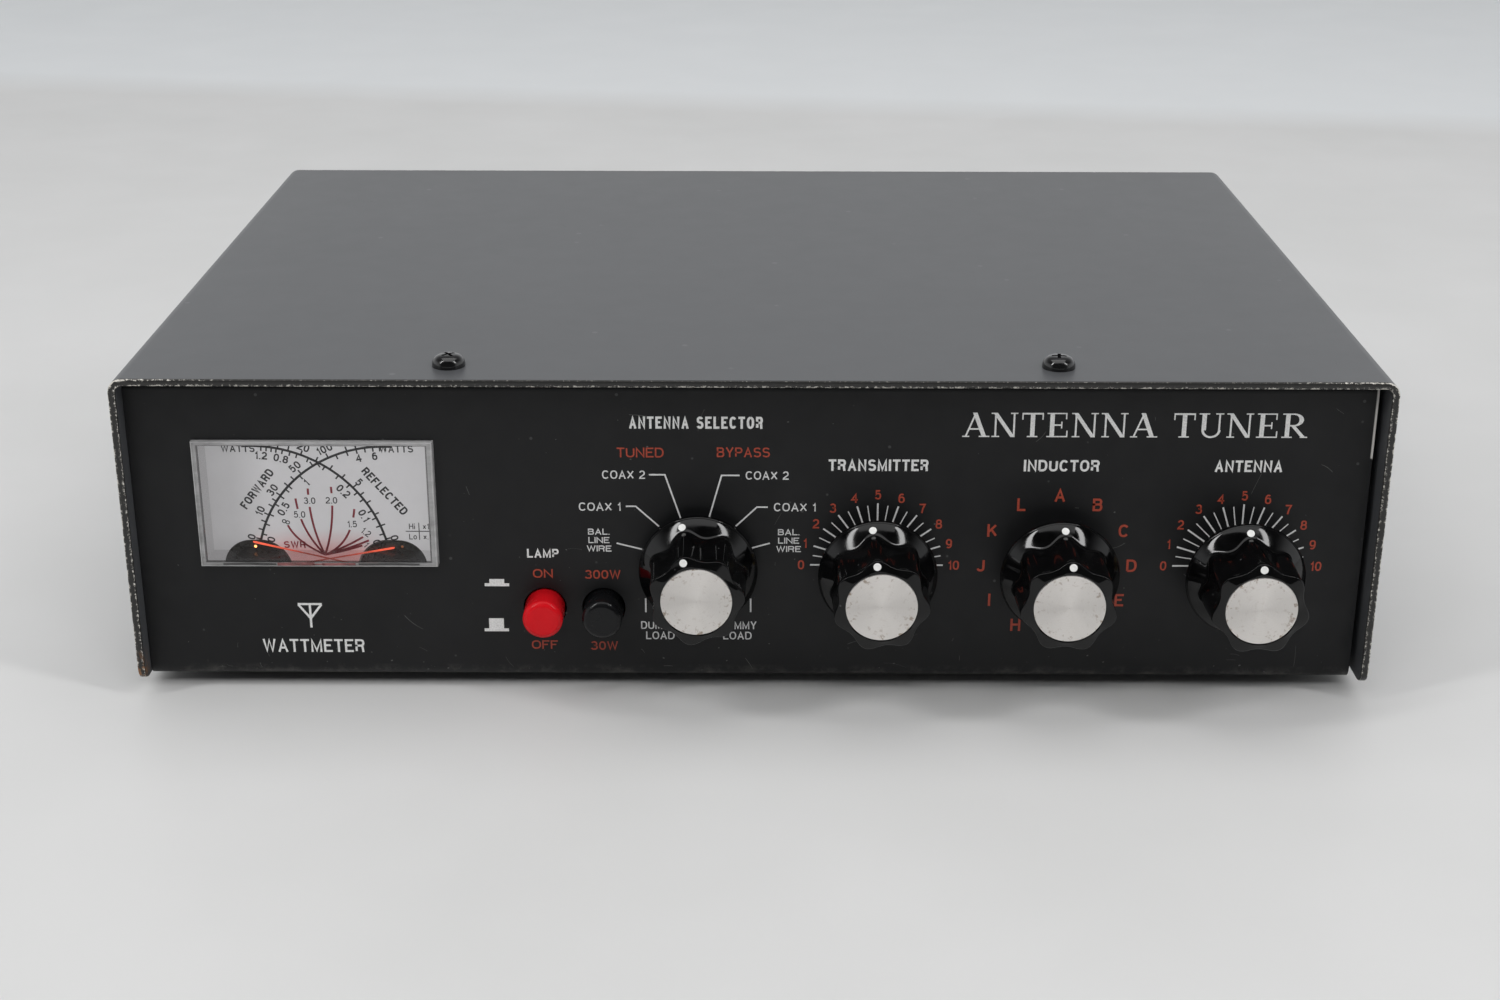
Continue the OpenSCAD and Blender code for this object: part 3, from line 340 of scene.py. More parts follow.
def clear_pane():
    """A thin clear sheet: straight through, with a faint reflection and a few smears."""
    sh = Shader("clear_pane")
    through = sh.add("ShaderNodeBsdfTransparent")
    through.inputs["Color"].default_value = (0.9, 0.91, 0.91, 1)
    gloss = sh.add("ShaderNodeBsdfGlossy")
    sh.put(sh.cloud(6, 4, 0.03, 0.09), gloss.inputs["Roughness"])
    fresnel = sh.add("ShaderNodeFresnel")
    fresnel.inputs["IOR"].default_value = 1.45
    blend = sh.add("ShaderNodeMixShader")
    for source, socket in zip((fresnel, through, gloss), blend.inputs):
        sh.put(source.outputs[0], socket)
    sh.put(blend.outputs[0], sh.tree.nodes["Material Output"].inputs["Surface"])
    return sh.material


def clear_edge(name, light, dark, alpha, cool=1.0):
    """Part of the window's thick acrylic rim, its light and shade painted in: greyed, lightened or darkened
    for what it bends towards the eye.

    cool is the share of green and blue that is kept, less than one for painted red lamplight.
    """
    sh = Shader(name)
    stretched = sh.add("ShaderNodeMapping")
    sh.put(sh.coordinates, stretched.inputs["Vector"])
    stretched.inputs["Scale"].default_value = (0.3, 1, 1)
    streak = sh.ramp(sh.noise(2.2, 4, 0.6, stretched.outputs["Vector"]), 0.35, 0.65)
    colours = [(value, value * cool, value * cool) for value in (dark, light)]
    sh.set(Base_Color=sh.mix(streak, *colours), Roughness=0.14, Alpha=alpha, Specular_IOR_Level=0.7)
    sh.grain(1.5, 3, 0.1, 0.02)
    return sh.material


def from_meter_middle(sh, x):
    """Distance to the left or right of the meter's middle, in metres."""
    return sh.math("ABSOLUTE", sh.math("SUBTRACT", x, METER.x * MM))


def lit_dial():
    """Pale dial paper with painted lamplight: it glows as if lit by the lamp, less towards its left end,
    where painted shade falls, and red at its foot.
    """
    sh = Shader("dial_print")
    x, _, z = sh.split(sh.coordinates)
    paper = sh.mix(sh.cloud(9, 4), (0.50, 0.50, 0.505), (0.55, 0.55, 0.56))
    # painted lamplight and painted shade: the glow is weaker towards the dial's left end
    light = sh.ramp(x, (METER.x - 19) * MM, (METER.x - 11) * MM, 0.27, 0.37)
    # painted red lamplight: the glow turns red low in the middle of the dial
    foot = sh.times(sh.ramp(from_meter_middle(sh, x), 0.013, 0.007),
                    sh.ramp(z, (METER.z - 8) * MM, (METER.z - 13) * MM))
    sh.set(Base_Color=paper, Roughness=0.5, Emission_Strength=light,
           Emission_Color=sh.mix(foot, (1.0, 0.97, 0.99), (1.0, 0.5, 0.5)))
    sh.grain(0.2, 3, 0.1, 0.01)
    return sh.material


def lit_needle():
    """Orange needle paint with painted lamplight, glowing most at the tips, where the lamps are."""
    sh = Shader("needle_paint")
    x, _, _ = sh.split(sh.coordinates)
    painted_lamplight = sh.ramp(from_meter_middle(sh, x), 0.004, 0.0125, 0.16, 1.0)
    sh.set(Base_Color=sh.mix(sh.cloud(0.8, 3), (0.55, 0.07, 0.05), (0.7, 0.1, 0.06)), Roughness=0.45,
           Emission_Color=(1.0, 0.13, 0.06), Emission_Strength=painted_lamplight)
    return sh.material


def glow(name, colour, strength, base):
    """Something that the meter's lamp lights from behind."""
    sh = Shader(name)
    sh.set(Base_Color=sh.mix(sh.cloud(0.8, 3), tint(base, 0.8), base), Roughness=0.45,
           Emission_Color=colour, Emission_Strength=strength)
    return sh.material


def floor_material():
    """A matt off-white sheet that turns cooler towards its back."""
    sh = Shader("floor_sweep")
    x, y, _ = sh.split(sh.coordinates)
    warm = sh.mix(sh.cloud(90, 3), (0.665, 0.665, 0.66), (0.70, 0.698, 0.695))
    back = sh.ramp(sh.math("ADD", y, sh.times(x, 0.135)), 0.535, 0.585)
    sh.set(Base_Color=sh.mix(back, warm, (0.78, 0.80, 0.815)),
           Roughness=sh.cloud(40, 3, 0.38, 0.5), Specular_IOR_Level=0.35)
    sh.grain(60, 2, 0.05, 1.0)
    return sh.material


STEEL = (0.55, 0.55, 0.55)
# Colour, roughness and whatever else is not usual about each plain finish.
FINISHES = {
    "black_screw": ((0.006, 0.006, 0.0065), 0.16, dict(coat=0.3, grain=0.1)),
    "foot_rubber": ((0.016, 0.016, 0.016), 0.8, dict(grain=0.5, depth=0.05)),
    "meter_body": ((0.55, 0.54, 0.5), 0.5, {}),
    "movement_metal": ((0.055, 0.048, 0.038), 0.3, dict(metal=0.3, vary=0.35, patch=4)),
    "lamp_glass": ((0.8, 0.65, 0.35), 0.15, dict(patch=3)),
    "red_button": ((0.66, 0.008, 0.014), 0.2, dict(vary=0.08, grain=0.12, specular=0.16)),
    "black_button": ((0.007, 0.0072, 0.008), 0.22, dict(grain=0.15, specular=0.25)),
    "white_plastic": ((0.7, 0.68, 0.62), 0.4, {}),
    "switch_case": ((0.025, 0.03, 0.04), 0.45, dict(grain=0.3)),
    "brown_board": ((0.25, 0.16, 0.05), 0.5, dict(grain=0.3)),
    "zinc_plate": (STEEL, 0.35, dict(metal=1, patch=3)),
    "phenolic": ((0.24, 0.1, 0.03), 0.45, dict(vary=0.25, grain=0.3)),
    "contact_silver": ((0.72, 0.7, 0.64), 0.3, dict(metal=1)),
    "shaft_steel": (STEEL, 0.3, dict(metal=1, patch=4)),
    "rotor_plastic": ((0.66, 0.6, 0.46), 0.5, {}),
    "frame_aluminium": ((0.6, 0.61, 0.62), 0.4, dict(metal=1)),
    "vane_aluminium": ((0.72, 0.73, 0.74), 0.35, dict(metal=1)),
    "white_ceramic": ((0.74, 0.71, 0.64), 0.22, dict(vary=0.06, coat=0.2)),
    "bushing_brass": ((0.6, 0.44, 0.18), 0.35, dict(metal=1)),
    "fibre_shaft": ((0.5, 0.3, 0.12), 0.55, dict(vary=0.2, grain=0.4)),
    "nut_nickel": ((0.6, 0.59, 0.56), 0.28, dict(metal=1, vary=0.12, patch=3)),
    "bare_copper": ((0.72, 0.34, 0.18), 0.3, dict(metal=1, vary=0.2)),
    "clear_acrylic": ((0.6, 0.64, 0.66), 0.2, {}),
    "ferrite": ((0.05, 0.05, 0.042), 0.6, dict(grain=0.5, depth=0.05)),
    "enamel_wire": ((0.42, 0.06, 0.02), 0.2, dict(metal=0.4, coat=0.4)),
    "green_board": ((0.02, 0.12, 0.04), 0.35, dict(grain=0.35)),
    "board_parts": ((0.16, 0.1, 0.05), 0.4, dict(vary=0.4, patch=6)),
    "socket_nickel": ((0.66, 0.65, 0.62), 0.22, dict(metal=1, vary=0.1, patch=4)),
    "socket_insulator": ((0.78, 0.77, 0.72), 0.35, dict(vary=0.06)),
    "contact_brass": ((0.78, 0.6, 0.28), 0.28, dict(metal=1, patch=3)),
    "jack_plastic": ((0.012, 0.012, 0.013), 0.4, dict(grain=0.3)),
    "wire_insulation": ((0.5, 0.13, 0.03), 0.35, dict(vary=0.08)),
}
MATERIALS = {
    name: finish(name, colour, rough, **more) for name, (colour, rough, more) in FINISHES.items()
}
MATERIALS.update(
    panel_paint=panel_paint(),
    cover_paint=cover_paint(),
    knob_black=knob_gloss(),
    spun_aluminium=spun_metal(),
    dial_print=lit_dial(),
    needle_paint=lit_needle(),
    window_clear=clear_pane(),
)
WHITE_INK = print_ink("white_ink", (0.82, 0.82, 0.81))
FINE_INK = print_ink("fine_ink", (0.74, 0.74, 0.74))
RED_INK = print_ink("red_ink", (0.40, 0.058, 0.028))
DIAL_INK = print_ink("dial_ink", (0.05, 0.05, 0.055))
CURVE_INK = print_ink("curve_ink", (0.62, 0.055, 0.085))
# Painted light and shade of the window's acrylic rim: grey bands for what it bends towards the eye, a
# painted highlight on the outer bevel, painted shade on the inner edge and painted red lamplight at the
# foot.
RIM_FRONT = clear_edge("rim_front", 0.34, 0.20, 0.8)
RIM_HIGHLIGHT = clear_edge("rim_painted_highlight", 0.5, 0.34, 0.9)
RIM_SHADE = clear_edge("rim_painted_shade", 0.05, 0.02, 0.8)
RIM_INSIDE = clear_edge("rim_inside", 0.26, 0.18, 0.22)
RIM_LAMPLIGHT = clear_edge("rim_painted_lamplight", 0.42, 0.1, 0.85, 0.32)
DUST = finish("dust", (0.16, 0.16, 0.16), 0.7, vary=0.4, patch=12)
SCUFF = finish("scuff", (0.075, 0.074, 0.072), 0.5, vary=0.5, patch=2)
WHITE_DOT = finish("white_dot", (0.86, 0.86, 0.84), 0.4, vary=0.06, patch=1)


def dress_cad_nodes():
    """Gives every CAD node the finish of its slot."""
    for part in frame["record"]["subparts"]:
        mesh = frame["nodes"][part["node"]].data
        mesh.materials.clear()
        mesh.materials.append(MATERIALS[part["material_slot"]])


# ---------------------------------------------------------------- mesh helpers

def piece(name, bm, body, slot, *materials, sharp=35):
    """Makes a mesh object from bm, in millimetres, that rides on body."""
    bmesh.ops.scale(bm, vec=(MM, MM, MM), verts=bm.verts)
    mesh = bpy.data.meshes.new(name)
    bm.normal_update()
    bm.to_mesh(mesh)
    bm.free()
    for face in mesh.polygons:
        face.use_smooth = True
    mesh.set_sharp_from_angle(angle=math.radians(sharp))
    obj = bpy.data.objects.new(name, mesh)
    bpy.context.collection.objects.link(obj)
    for material in materials or (MATERIALS[slot],):
        mesh.materials.append(material)
    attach(obj, body)
    return obj


def grid(bm, rows):
    """Faces between closed rows of points."""
    made = [[bm.verts.new(p) for p in row] for row in rows]
    count = len(rows[0])
    for lower, upper in zip(made, made[1:]):
        for i in range(count):
            j = (i + 1) % count
            bm.faces.new((lower[i], lower[j], upper[j], upper[i]))
    return made


def circle(steps):
    """The angles of equal steps round a circle."""
    return [2 * math.pi * k / steps for k in range(steps)]


def lathe(bm, x, z, profile, steps=48, cap_start=True, cap_end=True):
    """Turns (y, radius) points about an axis along Y through x, z."""
    made = grid(bm, [[(x + r * math.cos(a), y, z + r * math.sin(a)) for a in circle(steps)]
                     for y, r in profile])
    if cap_start:
        bm.faces.new(made[0][::-1])
    if cap_end:
        bm.faces.new(made[-1])


def rounded(y0, y1, r, edge, steps=4):
    """A (y, radius) profile of a disc whose two rims are rounded by edge."""
    quarter = [math.pi / 2 * i / steps for i in range(steps + 1)]
    front = [(y0 + edge * (1 - math.sin(a)), r - edge * (1 - math.cos(a))) for a in quarter[::-1]]
    return front + [(y0 + y1 - y, radius) for y, radius in front[::-1]]


def strip(bm, points, width, y):
    """A flat line of constant width through (x, z) points, facing the front at depth y."""
    points = [Vector(p) for p in points]
    left, right = [], []
    for i, p in enumerate(points):
        before = (p - points[i - 1]).normalized() if i else (points[1] - p).normalized()
        after = (points[i + 1] - p).normalized() if i < len(points) - 1 else before
        along = (before + after).normalized()
        side = Vector((-along.y, along.x)) * (width / 2) / max(0.5, along.dot(before))
        left.append(bm.verts.new((p.x + side.x, y, p.y + side.y)))
        right.append(bm.verts.new((p.x - side.x, y, p.y - side.y)))
    for i in range(len(points) - 1):
        bm.faces.new((left[i], left[i + 1], right[i + 1], right[i]))


def arc(cx, cz, r, a0, a1, steps):
    return [(cx + r * math.cos(math.radians(a)), cz + r * math.sin(math.radians(a)))
            for a in (a0 + (a1 - a0) * i / steps for i in range(steps + 1))]


def radial(cx, cz, angle, r0, r1):
    c, s = math.cos(math.radians(angle)), math.sin(math.radians(angle))
    return [(cx + r0 * c, cz + r0 * s), (cx + r1 * c, cz + r1 * s)]


def bend(cx, cz, rx, rz, a0, a1):
    """Points along an oval whose sides are a little squared, from angle a0 to a1."""
    steps = max(3, round(abs(a1 - a0) / 15))
    squareness = 0.85
    points = []
    for i in range(steps + 1):
        c, s = (f(math.radians(a0 + (a1 - a0) * i / steps)) for f in (math.cos, math.sin))
        points.append((cx + rx * math.copysign(abs(c) ** squareness, c),
                       cz + rz * math.copysign(abs(s) ** squareness, s)))
    return points


# Plain capitals and numerals: the width of each and its strokes, in a unit square.
SANS = {
    "A": (0.78, [(0, 0), (0.5, 1), (1, 0)], [(0.18, 0.3), (0.82, 0.3)]),
    "B": (0.68, [(0, 0), (0, 1), (0.5, 1)] + bend(0.58, 0.77, 0.36, 0.23, 90, -90) + [(0, 0.54)],
          [(0.5, 0.54)] + bend(0.62, 0.27, 0.38, 0.27, 90, -90) + [(0, 0)]),
    "C": (0.74, bend(0.5, 0.5, 0.5, 0.5, 38, 322)),
    "D": (0.74, [(0, 0), (0, 1), (0.4, 1)] + bend(0.45, 0.5, 0.55, 0.5, 90, -90) + [(0, 0)]),
    "E": (0.62, [(1, 1), (0, 1), (0, 0), (1, 0)], [(0, 0.53), (0.9, 0.53)]),
    "F": (0.58, [(1, 1), (0, 1), (0, 0)], [(0, 0.52), (0.85, 0.52)]),
    "G": (0.78, bend(0.5, 0.5, 0.5, 0.5, 40, 325) + [(1, 0.02), (1, 0.47), (0.55, 0.47)]),
    "H": (0.72, [(0, 0), (0, 1)], [(1, 0), (1, 1)], [(0, 0.53), (1, 0.53)]),
    "I": (0.0, [(0.5, 0), (0.5, 1)]),
    "J": (0.54, [(1, 1), (1, 0.3)] + bend(0.5, 0.28, 0.5, 0.28, 0, -165)),
    "K": (0.70, [(0, 0), (0, 1)], [(0.95, 1), (0, 0.34)], [(0.36, 0.6), (1, 0)]),
    "L": (0.56, [(0, 1), (0, 0), (1, 0)]),
    "M": (0.86, [(0, 0), (0, 1), (0.5, 0.05), (1, 1), (1, 0)]),
    "N": (0.72, [(0, 0), (0, 1), (1, 0), (1, 1)]),
    "O": (0.78, bend(0.5, 0.5, 0.5, 0.5, 90, 450)),
    "P": (0.66, [(0, 0), (0, 1), (0.5, 1)] + bend(0.6, 0.74, 0.4, 0.26, 90, -90) + [(0, 0.48)]),
    "R": (0.70, [(0, 0), (0, 1), (0.5, 1)] + bend(0.6, 0.75, 0.38, 0.25, 90, -90) + [(0, 0.5)],
          [(0.58, 0.5), (0.84, 0.4), (0.92, 0)]),
    "S": (0.68, bend(0.5, 0.76, 0.47, 0.24, 22, 262) + bend(0.5, 0.26, 0.5, 0.26, 82, -160)),
    "T": (0.64, [(0, 1), (1, 1)], [(0.5, 1), (0.5, 0)]),
    "U": (0.72, [(0, 1), (0, 0.38)] + bend(0.5, 0.34, 0.5, 0.34, 180, 360) + [(1, 1)]),
    "V": (0.74, [(0, 1), (0.5, 0), (1, 1)]),
    "W": (1.06, [(0, 1), (0.25, 0), (0.5, 1), (0.75, 0), (1, 1)]),
    "X": (0.72, [(0, 0), (1, 1)], [(0, 1), (1, 0)]),
    "Y": (0.74, [(0, 1), (0.5, 0.42), (1, 1)], [(0.5, 0.42), (0.5, 0)]),
    "0": (0.60, bend(0.5, 0.5, 0.5, 0.5, 90, 450)),
    "1": (0.26, [(0, 0.76), (0.6, 0.8), (1, 1), (1, 0)]),
    "2": (0.60, bend(0.5, 0.71, 0.47, 0.29, 168, -38) + [(0.08, 0.14), (0, 0), (1, 0)]),
    "3": (0.60, bend(0.48, 0.76, 0.43, 0.24, 160, -80) + bend(0.47, 0.27, 0.52, 0.27, 82, -162)),
    "4": (0.62, [(0.78, 0), (0.78, 1), (0, 0.3), (1, 0.3)]),
    "5": (0.60, [(0.92, 1), (0.16, 1), (0.06, 0.5)] + bend(0.48, 0.33, 0.5, 0.33, 130, -155)),
    "6": (0.60, bend(0.5, 0.32, 0.48, 0.32, 0, 360), bend(0.54, 0.5, 0.52, 0.5, 55, 195)),
    "7": (0.58, [(0, 1), (1, 1), (0.58, 0.48), (0.38, 0)]),
    "8": (0.60, bend(0.5, 0.765, 0.42, 0.235, 90, 450), bend(0.5, 0.27, 0.5, 0.27, 90, 450)),
    "9": (0.60, bend(0.5, 0.68, 0.48, 0.32, 0, 360), bend(0.46, 0.5, 0.52, 0.5, 235, 375)),
    ".": (0.0, [(0.5, 0), (0.5, 0.06)]),
    "/": (0.36, [(0, 0), (1, 1)]),
    "i": (0.0, [(0.5, 0), (0.5, 0.68)], [(0.5, 0.92), (0.5, 1)]),
    "o": (0.52, bend(0.5, 0.36, 0.5, 0.36, 90, 450)),
    "x": (0.50, [(0, 0), (1, 0.7)], [(0, 0.7), (1, 0)]),
    "~": (1.3, bend(0.24, 0.4, 0.24, 0.27, 0, 360), bend(0.76, 0.4, 0.24, 0.27, 0, 360)),
}
BLANK = 0.34                            # between words, in letter heights


def lettering(bm, text, x, z, height, y, width=None, weight=0.13, turn=0.0, back=False):
    """Adds text in plain strokes, centred on x, z and facing the front at depth y.

    weight is the stroke's width over the height; width, if given, is the whole text's;
    back makes it read from behind.
    """
    stroke = height * weight
    gap = height * 0.1 + stroke * 0.18                # clear space between two letters
    shapes = [SANS[c][0] * height for c in text if c != " "]
    blanks = text.count(" ") * (BLANK * height + gap)
    fixed = len(shapes) * stroke + (len(text) - 1) * gap + blanks - text.count(" ") * gap
    squeeze = (width - fixed) / sum(shapes) if width else 0.8
    pen = -(fixed + sum(shapes) * squeeze) / 2 + stroke / 2
    c, s = math.cos(math.radians(turn)), math.sin(math.radians(turn))
    side, lift = (-1, 0.002) if back else (1, -0.002)  # lift parts strokes that cross
    layer = 0
    for letter in text:
        if letter == " ":
            pen += BLANK * height + gap
            continue
        across = SANS[letter][0] * height * squeeze
        for path in SANS[letter][1:]:
            points = []
            for u, v in path:
                right = pen + u * across
                up = v * (height - stroke) + stroke / 2 - height / 2
                if v in (0, 1) and len(path) < 6 and is_end(path, (u, v)):
                    up += math.copysign(stroke / 2, v - 0.5)
                if is_tip(path, (u, v)):
                    right += math.copysign(stroke / 2, u - 0.5)
                points.append((x + side * (right * c - up * s), z + right * s + up * c))
            strip(bm, points, stroke, y + lift * (layer % 5))
            layer += 1
        pen += across + stroke + gap


def is_end(path, point):
    """True for a stroke's upright end, which runs on to the letter's full height."""
    at_start = point == path[0]
    beside = path[1] if at_start else path[-2]
    return point in (path[0], path[-1]) and abs(beside[0] - point[0]) < 0.6 and beside[1] != point[1]


def is_tip(path, point):
    """True for a level stroke's end, which runs on to the letter's full width."""
    beside = path[1] if point == path[0] else path[-2]
    return point in (path[0], path[-1]) and point[0] in (0, 1) and beside[1] == point[1]


# ---------------------------------------------------------------- cover

def cover_path():
    """Outer (x, z) points and outward normals up the left side, over the top and down the right."""
    r = 3.0
    half, top, low = COVER_HIGH.x, COVER_HIGH.z, COVER_LOW.z
    path = []
    corner = [3 * (1 - math.cos(math.pi / 2 * i / 6)) for i in range(7)]
    for h in corner + [8, 20, 40, top - low - r]:
        path.append(((-half, low + h), (-1, 0)))
    for i in range(1, 9):
        a = math.pi / 2 * i / 8
        c, s = math.cos(a), math.sin(a)
        path.append(((-half + r - r * c, top - r + r * s), (-c, s)))
    for k in range(1, 12):
        path.append(((-half + r + (half - r) * 2 * k / 12, top), (0, 1)))
    right = [((-x, z), (-nx, nz)) for (x, z), (nx, nz) in path if x < -half + r + 0.01]
    return path + right[::-1]


def cover_section(y0, y1, outer, inner):
    """(depth into the sheet, y, wear) points round the sheet from front y0 to back y1."""
    rim = 0.3
    near = rim * 0.3
    return ((0, y0 + 3, 0), (0, y0 + 0.7, 0.02), (0, y0 + rim, outer * 0.8), (near, y0 + near, outer),
            (rim, y0, outer * 0.6), (SHEET / 2, y0, 0.4), (SHEET - rim, y0, inner * 0.7),
            (SHEET - near, y0 + near, inner), (SHEET, y0 + rim, inner * 0.6),
            (SHEET, y0 + 0.8, 0.05), (SHEET, y0 + 3, 0), (SHEET, y1 - 3, 0),
            (SHEET, y1 - rim, 0.6), (SHEET - rim, y1, 0.5), (rim, y1, 0.5),
            (0, y1 - rim, 0.75), (0, y1 - 0.9, 0.1), (0, y1 - 3, 0))


def cover_piece():
    """The sheet cover with rounded rims, rounded lower corners and a wear value per point."""
    bm = bmesh.new()
    wear = bm.verts.layers.float.new("wear")
    round_r = 3.0
    rows, values = [], []
    for (x, z), (nx, nz) in cover_path():
        h = z - COVER_LOW.z
        bent = min(abs(nx), abs(nz)) > 0.01
        outer, inner = (1.2, 1.0) if bent else (1.0, 0.86) if nx else (0.6, 0.95)
        inset = round_r - math.sqrt(max(0, round_r ** 2 - (round_r - h) ** 2)) if h < round_r else 0
        section = cover_section(COVER_LOW.y + inset, COVER_HIGH.y - inset, outer, inner)
        rows.append([(x - nx * depth, y, z - nz * depth) for depth, y, _ in section])
        values += [value for _, _, value in section]
    made = grid(bm, rows)
    for vert, value in zip((v for row in made for v in row), values):
        vert[wear] = value
    for vert in made[0] + made[-1]:
        vert[wear] = max(vert[wear], 0.7)
    bm.faces.new(made[0])
    bm.faces.new(made[-1][::-1])
    obj = piece("cover_shell", bm, "case", "cover_paint", sharp=60)
    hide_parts("cover")


def cross_recess(bm_source, r, h):
    """Cuts a cross recess into a screw head that stands on z = 0, and returns a new bmesh."""
    head = bpy.data.meshes.new("head")
    bm_source.to_mesh(head)
    cutter = bmesh.new()
    for angle in (20, 110):
        made = bmesh.ops.create_cube(cutter, size=1)["verts"]
        for v in made:
            taper = 0.55 if v.co.z < 0 else 1
            v.co = Vector((v.co.x * r * 1.15 * taper, v.co.y * r * 0.26 * taper, h + v.co.z * h * 1.1))
        bmesh.ops.rotate(cutter, verts=made, matrix=Matrix.Rotation(math.radians(angle), 3, "Z"))
    shape = bpy.data.meshes.new("cutter")
    cutter.to_mesh(shape)
    cutter.free()
    holder = bpy.data.objects.new("head", head)
    tool = bpy.data.objects.new("cutter", shape)
    bpy.context.collection.objects.link(holder)
    bpy.context.collection.objects.link(tool)
    cut = holder.modifiers.new("cut", "BOOLEAN")
    cut.object = tool
    cut.operation = "DIFFERENCE"
    cut.use_self = True
    result = bmesh.new()
    result.from_mesh(holder.evaluated_get(bpy.context.evaluated_depsgraph_get()).to_mesh())
    bpy.data.objects.remove(holder)
    bpy.data.objects.remove(tool)
    return result


def pan_head(r, h):
    """A domed screw head with a cross recess, standing on z = 0."""
    bm = bmesh.new()
    rows = []
    steps = 10
    for i in range(steps + 1):
        a = math.pi / 2 * i / steps
        radius = r * math.cos(a) ** 0.62 if i < steps else r * 0.05
        height = h * (0.12 + 0.88 * math.sin(a) ** 0.9)
        rows.append([(radius * math.cos(t), radius * math.sin(t), height) for t in circle(40)])
    rows.insert(0, [(x, y, 0) for x, y, _ in rows[0]])
    made = grid(bm, rows)
    bm.faces.new(made[0][::-1])
    bm.faces.new(made[-1])
    return cross_recess(bm, r, h)


def heads(bm, shape, places):
    """Copies a screw head into bm at each placing matrix."""
    mesh = bpy.data.meshes.new("head_copy")
    shape.to_mesh(mesh)
    for place in places:
        before = len(bm.verts)
        bm.from_mesh(mesh)
        bm.verts.ensure_lookup_table()
        bmesh.ops.transform(bm, matrix=place, verts=bm.verts[before:])
    bpy.data.meshes.remove(mesh)


def cover_screws():
    """The four black pan heads that hold the cover."""
    head_h = node_box("cover_screws")[1].z - COVER_HIGH.z
    top_x, top_y = 64, COVER_LOW.y + 10
    side_y, side_z = REAR_Y - SHEET - 6, 40
    places = [Matrix.Translation((x, top_y, COVER_HIGH.z)) @ Matrix.Rotation(turn, 4, "Z")
              for x, turn in ((-top_x, 0.3), (top_x, 1.1))]
    for side in (-1, 1):
        outwards = Matrix.Rotation(side * math.pi / 2, 4, "Y")
        places.append(Matrix.Translation((side * COVER_HIGH.x, side_y, side_z)) @ outwards)
    bm = bmesh.new()
    shape = pan_head(3.5, head_h)
    heads(bm, shape, places)
    shape.free()
    obj = piece("cover_screw_heads", bm, "case", "black_screw")
    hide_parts("cover_screws")


# ---------------------------------------------------------------- knobs

RIM_R, RIM_H, SLOPE_H = 12.7, 1.1, 3.0  # the skirt's radius, the height of its rim and of its bevel
BEVEL_R, CONE_R = RIM_R - 0.28, 9.5     # radii at the bevel's foot and top


def knob_radius(angle, s, height):
    """Radius of a knob at an angle from its pointing lobe, s mm in front of its base.

    The bevelled skirt runs into a fluted grip, and the corner where they meet is softened.
    """
    skirt = RIM_R
    if s > RIM_H:
        skirt = BEVEL_R - (BEVEL_R - CONE_R) * ((s - RIM_H) / SLOPE_H) ** 1.08
    wave = (1 + math.cos(7 * angle)) / 2
    along = max(0, s - 4) / (height - 4)
    lobe, scoop = 10.42 - 0.3 * along, 9.05 - 0.2 * along
    grip = scoop + (lobe - scoop) * wave ** 1.15
    soft = 0.12
    near = max(0, 1 - abs(skirt - grip) / (4 * soft))
    return max(skirt, grip) + soft * near ** 2


def knob_piece(name):
    """A gloss knob with a bevelled skirt, seven scoops and a coned front, and its spun inlay."""
    inlay_low, inlay_high = node_box(name + "_inlay")
    low, high = node_box(name + "_knob")
    x, z = (inlay_low.x + inlay_high.x) / 2, (inlay_low.z + inlay_high.z) / 2
    face, base = low.y, high.y
    height = base - face
    angle = math.radians(KNOB_ANGLE[name])
    turns = circle(196)
    drop, edge, face_r, pocket_r = 0.5, 0.2, 7.7, 7.45
    front = height - drop - edge
    lip = [knob_radius(t, front, height) for t in turns]

    def row(radii, y):
        return [(x + r * math.cos(t + angle), y, z + r * math.sin(t + angle)) for r, t in zip(radii, turns)]

    corner = [(0, 0.2), (0.12, 0.06), (0.4, 0), (0.66, 0.02), (0.86, 0.09), (1.0, 0.19), (1.08, 0.28)]
    rows = [row([RIM_R - soft] * len(turns), base - s) for s, soft in corner]
    for s in [1.12 + 3.9 * i / 28 for i in range(29)] + [5.2 + (front - 5.2) * i / 8 for i in range(9)]:
        rows.append(row([knob_radius(t, s, height) for t in turns], base - s))
    for shrink, rise in ((0.03, 0.08), (0.09, 0.15), (0.18, 0.2), (0.3, 0.23)):
        rows.append(row([r - shrink for r in lip], base - front - rise))
    for share in (0.7, 0.4, 0.15, 0):
        rows.append(row([face_r + (r - 0.3 - face_r) * share for r in lip], face + (drop - 0.03) * share))
    for r, sunk in ((pocket_r + 0.05, 0.08), (pocket_r, 0.3), (pocket_r, 0.8)):
        rows.append(row([r] * len(turns), face + sunk))
    bm = bmesh.new()
    made = grid(bm, rows)
    bm.faces.new(made[0][::-1])
    bm.faces.new(made[-1])
    body = piece(name + "_grip", bm, name, "knob_black", sharp=40)
    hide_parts(name + "_knob")
    dots(name, x, z, face, base, angle)
    inlay(name, x, z, face)


